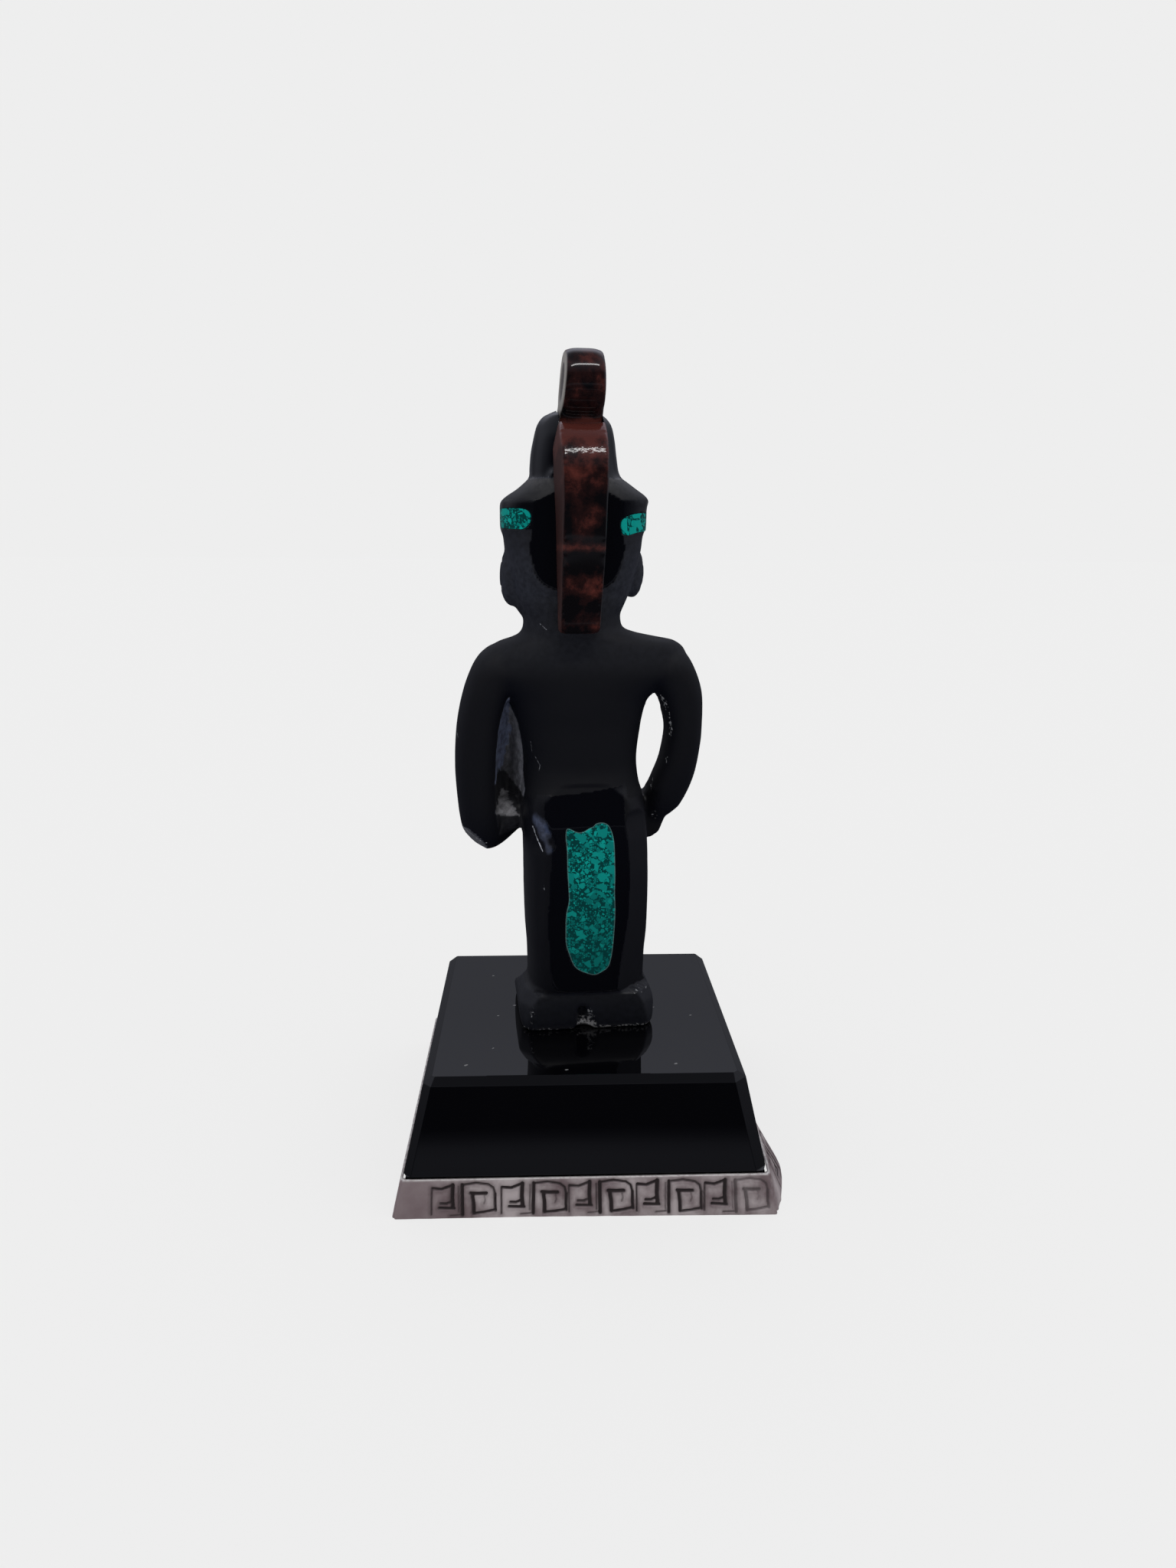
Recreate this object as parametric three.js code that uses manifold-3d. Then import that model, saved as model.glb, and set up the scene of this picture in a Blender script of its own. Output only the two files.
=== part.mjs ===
// A standing deity figurine carved in black obsidian, on a square obsidian base with a stamped metal band.
// Units are millimetres, +Z is up, the origin is the centre of the underside and the figure faces -Y.
import * as THREE from 'three';
import { mergeVertices } from 'three/addons/utils/BufferGeometryUtils.js';
import Module from 'manifold-3d';

const wasm = await Module();
wasm.setup();

// driving dimensions of the base
const BASE_HEIGHT = 28.3;
const BASE_HALF = 40.5;          // obsidian half-width at the table
const BASE_SLOPE = 0.222;        // how much the sides lean in for each millimetre of height
const CHAMFER_OUT = 1.9;
const CHAMFER_DOWN = 1.4;
const CORNER_CUT = 2.3;
const BAND_HEIGHT = 8.0;
const BAND_SHEET = 0.75;
const BAND_PROUD = 0.5;
const BAND_CORNER = 0.5;         // the sheet is folded nearly square, past the block's cut corners
const FIT_GAP = 0.3;             // clearance between neighbouring pieces

// driving dimensions of the figure
const FIGURE_TURN = THREE.MathUtils.degToRad(5);
const FOOT_Z = BASE_HEIGHT + FIT_GAP;
const CREST_TOP = 178;
const INLAY_DEPTH = 1.5;
const PANEL_BACK = 12.2;         // how far behind the axis the polished skirt panel stands
const PANEL_X = -0.5;
const INLAY_X = -0.9;
const HEADBAND = { low: 141.2, high: 146.2 };

const materials = {
  obsidian: new THREE.MeshStandardMaterial({ color: 0x0b0c11, roughness: 0.25, metalness: 0 }),
  base: new THREE.MeshStandardMaterial({ color: 0x08090c, roughness: 0.08, metalness: 0 }),
  crest: new THREE.MeshStandardMaterial({ color: 0x3a1410, roughness: 0.15, metalness: 0 }),
  malachite: new THREE.MeshStandardMaterial({ color: 0x0b7f6c, roughness: 0.3, metalness: 0 }),
  metal: new THREE.MeshStandardMaterial({ color: 0x857c7f, roughness: 0.4, metalness: 1 }),
};

// A closed geometry becomes a solid that can be joined and cut.
function solid(geometry) {
  const bare = geometry.clone();
  bare.deleteAttribute('normal');
  bare.deleteAttribute('uv');
  const merged = mergeVertices(bare, 1e-4);
  return new wasm.Manifold(new wasm.Mesh({
    numProp: 3,
    vertProperties: new Float32Array(merged.attributes.position.array),
    triVerts: new Uint32Array(merged.index.array),
  }));
}

function geometryOf(body) {
  const mesh = body.getMesh();
  const geometry = new THREE.BufferGeometry();
  geometry.setAttribute('position', new THREE.BufferAttribute(mesh.vertProperties, 3));
  geometry.setIndex(new THREE.BufferAttribute(mesh.triVerts, 1));
  return geometry;
}

function joined(bodies) {
  return bodies.reduce((all, next) => all.add(next));
}

// Rings of equal length, lowest first and counter-clockwise seen from above, skinned and capped.
function loft(rings) {
  const count = rings[0].length;
  const points = rings.flat();
  const faces = [];
  for (let r = 0; r + 1 < rings.length; r += 1) {
    for (let i = 0; i < count; i += 1) {
      const a = r * count + i;
      const b = r * count + (i + 1) % count;
      faces.push(a, b, b + count, a, b + count, a + count);
    }
  }
  const last = (rings.length - 1) * count;
  const ends = [rings[0], rings[rings.length - 1]].map((ring) => ring
    .reduce((sum, p) => sum.add(p), new THREE.Vector3()).divideScalar(count));
  points.push(...ends);
  for (let i = 0; i < count; i += 1) {
    const j = (i + 1) % count;
    faces.push(j, i, points.length - 2);
    faces.push(last + i, last + j, points.length - 1);
  }
  const geometry = new THREE.BufferGeometry().setFromPoints(points);
  geometry.setIndex(faces);
  return solid(geometry);
}

// One value at a height, eased between the keys [height, value, ...] as a smooth curve.
function eased(keys, z, column) {
  const last = keys.length - 1;
  if (z <= keys[0][0]) return keys[0][column];
  if (z >= keys[last][0]) return keys[last][column];
  const k = keys.findIndex((key) => key[0] > z) - 1;
  const slope = (i) => {
    if (i === 0 || i === last) return 0;
    const before = (keys[i][column] - keys[i - 1][column]) / (keys[i][0] - keys[i - 1][0]);
    const after = (keys[i + 1][column] - keys[i][column]) / (keys[i + 1][0] - keys[i][0]);
    return before * after <= 0 ? 0 : 2 * before * after / (before + after);
  };
  const span = keys[k + 1][0] - keys[k][0];
  const t = (z - keys[k][0]) / span;
  const h = t * t * (3 - 2 * t);
  return keys[k][column] * (1 - h) + keys[k + 1][column] * h
    + span * (slope(k) * t * (1 - t) ** 2 - slope(k + 1) * t * t * (1 - t));
}

// A flattened, squared-off ring. front and back are its depths either side of the axis.
function ring(z, centre, half, front, back, power, sides, grow = 0) {
  return Array.from({ length: sides }, (_, i) => {
    const angle = (i + 0.5) / sides * 2 * Math.PI;
    const c = Math.cos(angle);
    const s = Math.sin(angle);
    const reach = (Math.abs(c) ** power + Math.abs(s) ** power) ** (-1 / power);
    const depth = s < 0 ? front : back;
    return new THREE.Vector3(centre + c * reach * (half + grow), s * reach * (depth + grow), z);
  });
}

function stack(keys, heights, sides, grow = 0) {
  return loft(heights.map((z) => ring(z, eased(keys, z, 1), eased(keys, z, 2), eased(keys, z, 3),
    eased(keys, z, 4), eased(keys, z, 5), sides, grow)));
}

function box(x, y, z, cx, cy, cz, turnX = 0, turnZ = 0) {
  const geometry = new THREE.BoxGeometry(x, y, z);
  geometry.rotateX(turnX);
  geometry.rotateZ(turnZ);
  geometry.translate(cx, cy, cz);
  return solid(geometry);
}

function egg(x, y, z, rx, ry, rz, wide = 12, high = 8) {
  const geometry = new THREE.SphereGeometry(1, wide, high);
  geometry.rotateX(Math.PI / 2);
  geometry.scale(rx, ry, rz);
  geometry.translate(x, y, z);
  return solid(geometry);
}

// A limb: oval sections carried along a smooth path. Stops are [x, y, z, half-width, half-depth].
function limb(stops, steps, sides) {
  const path = new THREE.CatmullRomCurve3(stops.map((p) => new THREE.Vector3(p[0], p[1], p[2])));
  const wide = new THREE.CatmullRomCurve3(stops.map((p) => new THREE.Vector3(p[3], p[4], 0)));
  let side = new THREE.Vector3(1, 0, 0);
  const rings = [];
  for (let i = 0; i <= steps; i += 1) {
    const t = i / steps;
    const along = path.getTangent(t);
    side.addScaledVector(along, -side.dot(along)).normalize();
    const deep = new THREE.Vector3().crossVectors(along, side);
    const centre = path.getPoint(t);
    const size = wide.getPoint(t);
    const end = i === 0 || i === steps ? 0.72 : 1;
    rings.push(Array.from({ length: sides }, (_, k) => {
      const angle = (k + 0.5) / sides * 2 * Math.PI;
      const c = Math.cos(angle);
      const s = Math.sin(angle);
      const reach = end * (Math.abs(c) ** 2.5 + Math.abs(s) ** 2.5) ** -0.4;
      return centre.clone().addScaledVector(side, c * reach * size.x)
        .addScaledVector(deep, s * reach * size.y);
    }));
  }
  return loft(rings);
}

function extruded(shape, depth, turn) {
  const geometry = new THREE.ExtrudeGeometry(shape, { depth, bevelEnabled: false, curveSegments: 8 });
  turn(geometry);
  return solid(geometry);
}

// base: a truncated pyramid with its corners cut and its top edge chamfered
function squareRing(z, half, cut) {
  const turns = [[1, -1], [1, 1], [-1, 1], [-1, -1]];
  return turns.flatMap(([x, y], i) => {
    const first = new THREE.Vector3(x * (half - (i % 2 ? 0 : cut)), y * (half - (i % 2 ? cut : 0)), z);
    const second = new THREE.Vector3(x * (half - (i % 2 ? cut : 0)), y * (half - (i % 2 ? 0 : cut)), z);
    return [first, second];
  });
}

const sideAt = (z) => BASE_HALF - BASE_SLOPE * z;
const rebate = BAND_SHEET - BAND_PROUD + FIT_GAP;
const bandTop = BAND_HEIGHT + FIT_GAP;
const shoulder = BASE_HEIGHT - CHAMFER_DOWN;
const baseBlock = loft([
  squareRing(0, sideAt(0) - rebate, CORNER_CUT),
  squareRing(bandTop, sideAt(bandTop) - rebate, CORNER_CUT),
  squareRing(bandTop + 0.01, sideAt(bandTop), CORNER_CUT),
  squareRing(shoulder, sideAt(shoulder), CORNER_CUT * 0.8),
  squareRing(BASE_HEIGHT, sideAt(shoulder) - CHAMFER_OUT, CORNER_CUT * 0.35),
]);

// stamped fret: each motif is one square-cornered stroke that coils inwards
function stroke(points, width) {
  const left = [];
  const right = [];
  points.forEach(([x, y], i) => {
    const before = points[Math.max(i - 1, 0)];
    const after = points[Math.min(i + 1, points.length - 1)];
    const into = new THREE.Vector2(x - before[0], y - before[1]).normalize();
    const out = new THREE.Vector2(after[0] - x, after[1] - y).normalize();
    const along = i === 0 ? out : i === points.length - 1 ? into : into.clone().add(out).normalize();
    const stretch = width / 2 / Math.max(0.5, along.dot(i === 0 ? out : into));
    const normal = new THREE.Vector2(-along.y, along.x).multiplyScalar(stretch);
    left.push(new THREE.Vector2(x, y).add(normal));
    right.unshift(new THREE.Vector2(x, y).sub(normal));
  });
  return new THREE.Shape([...right, ...left].reverse());
}

const HOOK_COIL = [[0, 0.2], [0, 4.9], [3.9, 5.3], [4.1, 1.8], [1.6, 1.7]];
const DOUBLE_COIL = [[0, 0], [0, 5.7], [5.9, 5.5], [6.3, 0.5], [2.3, 0.1], [2.0, 3.8], [4.6, 3.9]];
const FRET_PITCH = 14.8;
const FRET_START = -33.5;
const FRET_LOW = 1.0;
const STAMP_DEPTH = 0.32;

function fretMarks() {
  const lean = Math.atan(BASE_SLOPE);
  const marks = [];
  for (let side = 0; side < 4; side += 1) {
    for (let pair = 0; pair < 5; pair += 1) {
      const at = FRET_START + pair * FRET_PITCH;
      for (const [coil, offset] of [[HOOK_COIL, 0], [DOUBLE_COIL, 6.6]]) {
        if (at + offset + 6.5 > BASE_HALF - CORNER_CUT) continue;
        marks.push(extruded(stroke(coil, 0.75), 1.2, (g) => {
          g.translate(at + offset, FRET_LOW, -STAMP_DEPTH);
          g.rotateX(Math.PI / 2 - lean);
          g.rotateZ(Math.PI);
          g.translate(0, sideAt(0) + BAND_PROUD, 0);
          g.rotateZ(side * Math.PI / 2);
        }));
      }
    }
  }
  return marks;
}

function bandShell() {
  const outer = (z) => sideAt(z) + BAND_PROUD;
  const inner = (z) => outer(z) - BAND_SHEET;
  const sheet = loft([0, BAND_HEIGHT].map((z) => squareRing(z, outer(z), BAND_CORNER)));
  const hollow = loft([-1, BAND_HEIGHT + 1].map((z) => squareRing(z, inner(z), BAND_CORNER)));
  return sheet.subtract(hollow);
}

const baseBand = fretMarks().reduce((band, mark) => band.subtract(mark), bandShell());

// trunk, skirt and neck: [height, centre, half-width, front depth, back depth, squareness]
const TRUNK = [
  [31.0, -1.1, 12.2, 9.6, 9.4, 3.6],
  [37.0, -1.1, 13.2, 10.4, 10.6, 3.6],
  [45.0, -0.9, 13.6, 10.6, 11.2, 3.4],
  [52.0, -0.8, 14.2, 10.8, 11.5, 3.4],
  [62.0, -0.9, 14.4, 11.0, 11.6, 3.2],
  [70.0, -0.9, 14.4, 11.0, 11.6, 3.0],
  [79.0, -0.3, 14.1, 10.6, 11.2, 2.8],
  [83.0, 0.3, 13.5, 10.0, 10.0, 2.6],
  [90.0, 0.8, 13.0, 9.6, 9.2, 2.5],
  [97.0, 0.8, 13.9, 9.9, 9.2, 2.4],
  [104.0, 0.8, 16.6, 10.6, 9.6, 2.4],
  [107.5, 0.4, 20.6, 10.8, 9.6, 2.4],
  [110.5, 0.0, 24.2, 10.6, 9.4, 2.3],
  [113.4, -0.1, 23.6, 10.0, 9.2, 2.3],
  [115.6, -0.4, 21.6, 9.4, 9.0, 2.3],
  [117.2, -0.8, 18.2, 9.0, 8.8, 2.3],
  [118.6, 0.6, 13.8, 8.8, 8.8, 2.2],
  [120.4, 2.3, 11.0, 8.8, 8.8, 2.2],
  [126.0, 2.4, 10.6, 9.4, 9.4, 2.2],
];
// head with its folded brim and smooth cap, in the same columns
const HEAD = [
  [120.6, 2.4, 9.0, 8.0, 8.4, 2.2],
  [122.6, 2.4, 10.4, 12.0, 9.4, 2.2],
  [127.0, 2.3, 12.2, 14.4, 10.4, 2.3],
  [132.0, 2.3, 13.4, 14.8, 11.2, 2.4],
  [137.0, 2.2, 14.4, 14.6, 12.0, 2.5],
  [140.2, 2.2, 15.2, 15.0, 13.0, 2.6],
  [141.4, 2.15, 15.9, 16.0, 13.8, 2.7],
  [146.0, 2.1, 15.9, 16.2, 14.0, 2.7],
  [147.6, 1.9, 15.3, 15.4, 13.4, 2.6],
  [149.6, 1.5, 13.3, 13.4, 12.0, 2.5],
  [151.6, 1.7, 10.5, 11.0, 10.8, 2.3],
  [153.6, 2.0, 9.6, 10.4, 10.2, 2.2],
  [157.0, 2.1, 9.0, 9.8, 9.8, 2.1],
  [160.0, 2.0, 8.5, 9.0, 9.2, 2.1],
  [162.6, 1.9, 7.6, 8.0, 8.2, 2.0],
  [164.8, 1.9, 6.0, 6.4, 6.6, 2.0],
  [166.0, 1.9, 3.6, 4.2, 4.4, 2.0],
];
const HEAD_LEVELS = HEAD.map((key) => key[0]);
const SIDES = 26;

function headShell(grow) {
  return stack(HEAD, [...HEAD_LEVELS, 129.5, 134.5, 143.6].sort((a, b) => a - b), SIDES, grow);
}

// arms: held out from the ribs, bent at the elbow, with the hands laid on the front of the hips
const LEFT_ARM = [
  [19.4, 0.2, 110.5, 5.2, 7.0], [22.3, 0.6, 104.0, 4.9, 6.9], [23.7, 0.6, 97.0, 4.8, 6.8],
  [24.2, 0.4, 88.0, 4.7, 6.6], [23.8, 0.0, 80.0, 4.5, 6.2], [21.8, -2.2, 74.0, 4.4, 5.2],
  [18.0, -7.0, 73.2, 4.2, 4.4], [13.0, -11.4, 74.0, 3.7, 4.0], [8.0, -12.8, 74.8, 3.2, 3.4],
];
const RIGHT_ARM = [
  [-19.0, 0.2, 110.5, 5.2, 7.0], [-22.0, 0.6, 104.0, 4.8, 6.8], [-22.9, 0.6, 97.0, 4.4, 6.6],
  [-22.4, 0.2, 90.0, 4.3, 6.2], [-20.6, -0.8, 83.6, 4.4, 5.6], [-18.2, -3.6, 78.0, 4.5, 5.0],
  [-15.2, -8.0, 74.6, 4.2, 4.4], [-11.4, -11.8, 73.8, 3.6, 4.0], [-6.8, -12.8, 74.6, 3.0, 3.3],
];

// left armpit: the carver cut a notch from behind and stopped short, so a web closes it in front
function armpitWeb() {
  const levels = [[74.5, 12.4, 16.8, 21.6, -4.2], [80, 12.4, 17.0, 23.0, -5.4], [90, 12.4, 16.6, 23.0, -6.2],
    [98, 13.4, 16.4, 22.4, -5.6], [104.5, 15.6, 18.4, 21.0, -3.0]];
  return loft(levels.map(([z, ribs, valley, arm, deep]) => [
    [ribs, -9.2], [arm, -8.2], [arm, 2.4], [valley, deep], [ribs, 0.6],
  ].map(([x, y]) => new THREE.Vector3(x, y, z))));
}

function hand(side) {
  const x = side * 8.2 + 0.4;
  const palm = egg(x, -12.4, 74.4, 5.0, 3.0, 4.4, 12, 8);
  const grooves = [-1.9, 0, 1.9].map((dz) => box(6, 1.4, 0.6, x - side * 2.4, -15.2, 74.4 + dz));
  return grooves.reduce((palmSoFar, groove) => palmSoFar.subtract(groove), palm);
}

// feet: one block under the skirt, cleft between the heels behind and between the feet in front
function feet() {
  const block = loft([
    ring(FOOT_Z, -1.2, 15.3, 15.4, 10.0, 4.6, 20),
    ring(29.6, -1.2, 15.9, 15.8, 10.6, 4.6, 20),
    ring(33.4, -1.2, 15.7, 13.8, 10.2, 4.4, 20),
    ring(35.6, -1.1, 14.4, 11.6, 9.6, 4.0, 20),
    ring(37.2, -1.0, 12.4, 9.8, 8.6, 3.6, 20),
  ]);
  const heelCleft = box(2.6, 2.4, 6, -0.8, 11.2, 29.2, 0, Math.PI / 4);
  const toeCleft = box(1.2, 9, 9, -1.5, -14.6, 31);
  const cuts = [heelCleft, toeCleft];
  for (const foot of [-1, 1]) {
    for (const toe of [-1.5, -0.5, 0.5, 1.5]) {
      cuts.push(box(0.5, 2.6, 5, -1.5 + foot * 8.2 + toe * 2.7, -15.2, 30.6));
    }
  }
  return cuts.reduce((left, cut) => left.subtract(cut), block);
}

// skirt: a polished slab down the back between two leaning flanks, and a plain apron in front
function skirtPanels() {
  const back = new THREE.Shape();
  back.moveTo(-8.8, 38);
  back.lineTo(8.8, 38);
  back.lineTo(9.2, 60);
  back.lineTo(8.8, 79);
  back.lineTo(6.0, 81.8);
  back.lineTo(-8.6, 81.2);
  back.lineTo(-9.2, 60);
  const slab = extruded(back, 4, (g) => {
    g.rotateX(Math.PI / 2);
    g.translate(PANEL_X, PANEL_BACK, 0);
  });
  const apron = new THREE.Shape();
  apron.moveTo(-6.4, 39);
  apron.lineTo(6.4, 39);
  apron.lineTo(5.6, 70);
  apron.lineTo(-5.6, 70);
  const front = extruded(apron, 4, (g) => {
    g.rotateX(Math.PI / 2);
    g.translate(PANEL_X, -8.2, 0);
  });
  const belt = stack([[78.4, -0.2, 14.6, 11.6, 10.6, 2.8], [81.8, 0.0, 14.3, 11.4, 10.4, 2.8]],
    [78.4, 81.8], SIDES);
  return [slab, front, belt];
}

// face: calm and general, on the usual thirds from brow to nose to chin
function face() {
  const x = 2.3;
  const sockets = [-1, 1].map((s) => egg(x + s * 5.2, -15.4, 134.6, 3.4, 2.2, 1.9, 12, 8));
  const eyes = [-1, 1].map((s) => egg(x + s * 5.2, -13.6, 134.4, 2.7, 1.5, 1.3, 12, 8));
  const nose = loft([
    [new THREE.Vector3(x - 2.7, -13, 129.4), new THREE.Vector3(x, -18.2, 129.8),
      new THREE.Vector3(x + 2.7, -13, 129.4)],
    [new THREE.Vector3(x - 2.2, -13, 131.4), new THREE.Vector3(x, -17.8, 131.6),
      new THREE.Vector3(x + 2.2, -13, 131.4)],
    [new THREE.Vector3(x - 1.3, -13, 138.6), new THREE.Vector3(x, -15.6, 138.6),
      new THREE.Vector3(x + 1.3, -13, 138.6)],
  ]);
  const lips = [egg(x, -14.4, 127.0, 3.6, 1.3, 0.8, 12, 6), egg(x, -14.2, 125.5, 3.1, 1.4, 0.9, 12, 6)];
  return { sockets, parts: [...eyes, nose, ...lips] };
}

// ear flares: rounded bosses at the sides of the head
function earFlares() {
  return [-1, 1].flatMap((s) => [
    egg(2.3 + s * 13.4, -1.5, 131.8, 2.4, 4.2, 6.2, 12, 10),
  ]);
}

// crest: a slab that climbs from the nape over the back of the head and ends in a drilled scroll
const CURL = { y: 0.6, z: CREST_TOP - 6.6, radius: 6.6, hole: 2.1 };

function crestOutline(withHole) {
  const outline = new THREE.Shape();
  outline.moveTo(8.0, 119.6);
  outline.lineTo(12.6, 119.6);
  outline.lineTo(14.0, 121.0);
  outline.lineTo(16.0, 134);
  outline.lineTo(16.8, 146);
  outline.lineTo(16.0, 155.5);
  outline.quadraticCurveTo(14.8, 162.2, 8.6, 165.0);
  outline.lineTo(6.2, 166.6);
  outline.absarc(CURL.y, CURL.z, CURL.radius, -0.55, Math.PI + 0.75, false);
  outline.lineTo(-5.2, 162.5);
  outline.lineTo(4.6, 160.0);
  outline.lineTo(7.4, 154.5);
  outline.lineTo(9.6, 147.0);
  outline.lineTo(9.4, 136.0);
  if (withHole) {
    const hole = new THREE.Path();
    hole.absarc(CURL.y - 0.6, CURL.z + 0.4, CURL.hole, 0, 2 * Math.PI, true);
    outline.holes.push(hole);
  }
  return outline;
}

// The slab is narrower at both ends and leans to the figure's right as it climbs: [height, centre, width].
const CREST_LEAN = [[119, 2.0, 8.5], [140, 1.7, 9.3], [158, 1.2, 9.4], [166, 0.5, 8.3], [178, 0.0, 8.0]];

function crestBody(margin, withHole) {
  const settings = { depth: 1, bevelEnabled: false, curveSegments: 9 };
  const geometry = new THREE.ExtrudeGeometry(crestOutline(withHole), settings);
  geometry.rotateX(Math.PI / 2);
  geometry.rotateZ(Math.PI / 2);
  const place = geometry.attributes.position;
  for (let i = 0; i < place.count; i += 1) {
    const z = place.getZ(i);
    const side = place.getX(i) > 0.5 ? 0.5 : -0.5;
    place.setX(i, eased(CREST_LEAN, z, 1) + side * (eased(CREST_LEAN, z, 2) + 2 * margin));
  }
  return solid(geometry);
}

// inlays: chips of green stone set flush in shallow pockets
function backInlayBody(margin, deep) {
  const half = 5.35 + margin;
  const outline = new THREE.Shape();
  outline.moveTo(-half, 47.5);
  outline.quadraticCurveTo(-half, 42.4 - margin, 0.6, 41.4 - margin);
  outline.quadraticCurveTo(half * 0.9, 41.6 - margin, half + 0.2, 48);
  outline.lineTo(half + 0.3, 58);
  outline.lineTo(half, 76.0 + margin);
  outline.lineTo(0.8, 76.6 + margin);
  outline.quadraticCurveTo(-0.4, 78.6 + margin, -2.4, 78.4 + margin);
  outline.quadraticCurveTo(-half - 0.2, 78.2, -half - 0.3, 73.5);
  outline.lineTo(-half - 0.4, 60);
  return extruded(outline, deep, (g) => {
    g.rotateX(Math.PI / 2);
    g.translate(INLAY_X, PANEL_BACK + (margin > 0 ? 1 : 0), 0);
  });
}

function headbandWindow(side, margin) {
  const wide = 7.2 + 2 * margin;
  const tall = HEADBAND.high - HEADBAND.low - 1.0 + 2 * margin;
  const reach = side > 0 ? 14.9 : 13.6;
  return box(wide, 14 + 2 * margin, tall, 2.1 + side * reach, 7.4, (HEADBAND.low + HEADBAND.high) / 2 - 0.5);
}

function headbandInlay(side) {
  return headShell(0).intersect(headbandWindow(side, 0)).subtract(headShell(-INLAY_DEPTH));
}

function headbandPocket(side) {
  return headbandWindow(side, FIT_GAP).subtract(headShell(-INLAY_DEPTH - FIT_GAP));
}

function figureBody() {
  const { sockets, parts } = face();
  const levels = [...TRUNK.map((key) => key[0]), 41, 57, 66, 75, 93, 100.5, 107].sort((a, b) => a - b);
  const arms = [limb(LEFT_ARM, 17, 12), limb(RIGHT_ARM, 17, 12)];
  let body = joined([headShell(0).subtract(joined(sockets)), stack(TRUNK, levels, SIDES),
    ...skirtPanels(), feet(), ...parts, ...earFlares(), armpitWeb(), ...arms, hand(1), hand(-1)]);
  body = body.subtract(backInlayBody(FIT_GAP, INLAY_DEPTH + FIT_GAP + 1));
  for (const side of [-1, 1]) body = body.subtract(headbandPocket(side));
  const slot = crestBody(FIT_GAP, false);
  for (const [dy, dz] of [[0, 0], [-FIT_GAP, 0], [0, -FIT_GAP], [-FIT_GAP, -FIT_GAP]]) {
    body = body.subtract(slot.translate([0, dy, dz]));
  }
  return body;
}

const model = new THREE.Group();
const figure = new THREE.Group();
figure.rotation.z = FIGURE_TURN;
model.add(figure);

function place(parent, name, body, material) {
  const mesh = new THREE.Mesh(geometryOf(body), material);
  mesh.name = name;
  parent.add(mesh);
}

place(model, 'base_block', baseBlock, materials.base);
place(model, 'base_band', baseBand, materials.metal);
place(figure, 'figure', figureBody(), materials.obsidian);
place(figure, 'crest', crestBody(0, true), materials.crest);
place(figure, 'skirt_inlay', backInlayBody(0, INLAY_DEPTH), materials.malachite);
place(figure, 'headband_inlay_left', headbandInlay(1), materials.malachite);
place(figure, 'headband_inlay_right', headbandInlay(-1), materials.malachite);

export default model;
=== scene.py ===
# A deity figurine in black obsidian on a banded square base, set up as it was photographed, from behind.
# Metres, +Z up, the origin under the middle of the base; the figure faces -Y and the camera stands at +Y.
import random
from math import atan2, copysign, cos, exp, hypot, pi, radians, sin, tau

import bmesh
import bpy
from mathutils import Matrix, Vector, kdtree, noise


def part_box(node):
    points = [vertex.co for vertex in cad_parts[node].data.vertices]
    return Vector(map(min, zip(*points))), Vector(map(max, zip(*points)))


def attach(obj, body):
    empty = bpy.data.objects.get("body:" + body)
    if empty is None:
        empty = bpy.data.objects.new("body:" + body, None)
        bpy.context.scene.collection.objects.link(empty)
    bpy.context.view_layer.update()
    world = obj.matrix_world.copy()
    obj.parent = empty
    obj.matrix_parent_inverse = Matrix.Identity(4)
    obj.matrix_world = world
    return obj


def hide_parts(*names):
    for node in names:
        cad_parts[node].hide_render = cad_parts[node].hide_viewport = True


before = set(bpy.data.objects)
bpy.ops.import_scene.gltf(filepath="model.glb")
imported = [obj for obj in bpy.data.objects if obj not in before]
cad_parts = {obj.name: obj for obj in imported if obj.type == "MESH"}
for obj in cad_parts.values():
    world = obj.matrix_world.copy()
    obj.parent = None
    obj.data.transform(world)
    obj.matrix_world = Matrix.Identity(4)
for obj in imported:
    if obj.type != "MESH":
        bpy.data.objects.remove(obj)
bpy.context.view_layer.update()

# Camera
# A phone held at arm's length, a little above the head. Its place and lens were worked out from the
# eight corners of the square base, taking the base as 82 mm square.
MM = 0.001
EYE = Vector((8.51, 240.68, 140.27)) * MM
TURN_LEFT, TIP_DOWN, LEAN_RIGHT = 0.04143, 0.22891, -0.00565
FOCAL_PIXELS = 1400
PHOTO_LONG_SIDE = 2048
SENSOR_SIDE = 36


def into_scene(name, data):
    item = bpy.data.objects.new(name, data)
    bpy.context.scene.collection.objects.link(item)
    return item


def way(turn, rise):
    """A direction: the turn from +Y towards -X and the rise from level, in radians."""
    return Vector((-sin(turn) * cos(rise), cos(turn) * cos(rise), sin(rise)))


lens = bpy.data.cameras.new("photo_camera")
lens.sensor_width = SENSOR_SIDE
lens.lens = FOCAL_PIXELS / PHOTO_LONG_SIDE * SENSOR_SIDE
lens.clip_start = 0.01
camera = into_scene("photo_camera", lens)
facing = (-way(-TURN_LEFT, TIP_DOWN)).to_track_quat("-Z", "Y").to_matrix().to_4x4()
camera.matrix_world = Matrix.Translation(EYE) @ facing @ Matrix.Rotation(-LEAN_RIGHT, 4, "Z")
bpy.context.scene.camera = camera
bpy.context.scene.view_settings.view_transform = "Standard"

# Base block
# A block of black obsidian sawn to a low pyramid with its top cut off, corners taken off, the top edge
# chamfered, and every face polished like glass. A little dust lies on the top.
BASE_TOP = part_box("base_block")[1][2] / MM
BAND_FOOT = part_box("base_band")[1][0] / MM
BAND_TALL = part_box("base_band")[1][2] / MM
SHEET_PROUD = 0.5
BASE_HALF = BAND_FOOT - SHEET_PROUD
SIDE_LEAN = 0.222
CORNER_CUTS = (0.9, 1.8, 2.7, 0.9)
CHAMFER_OUT, CHAMFER_DOWN, FAR_OUT = 1.9, 1.4, 0.5
REBATE = 0.55


def limited(value):
    """The value, or 0 below 0 and 1 above 1."""
    return max(0, min(1, value))


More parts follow.
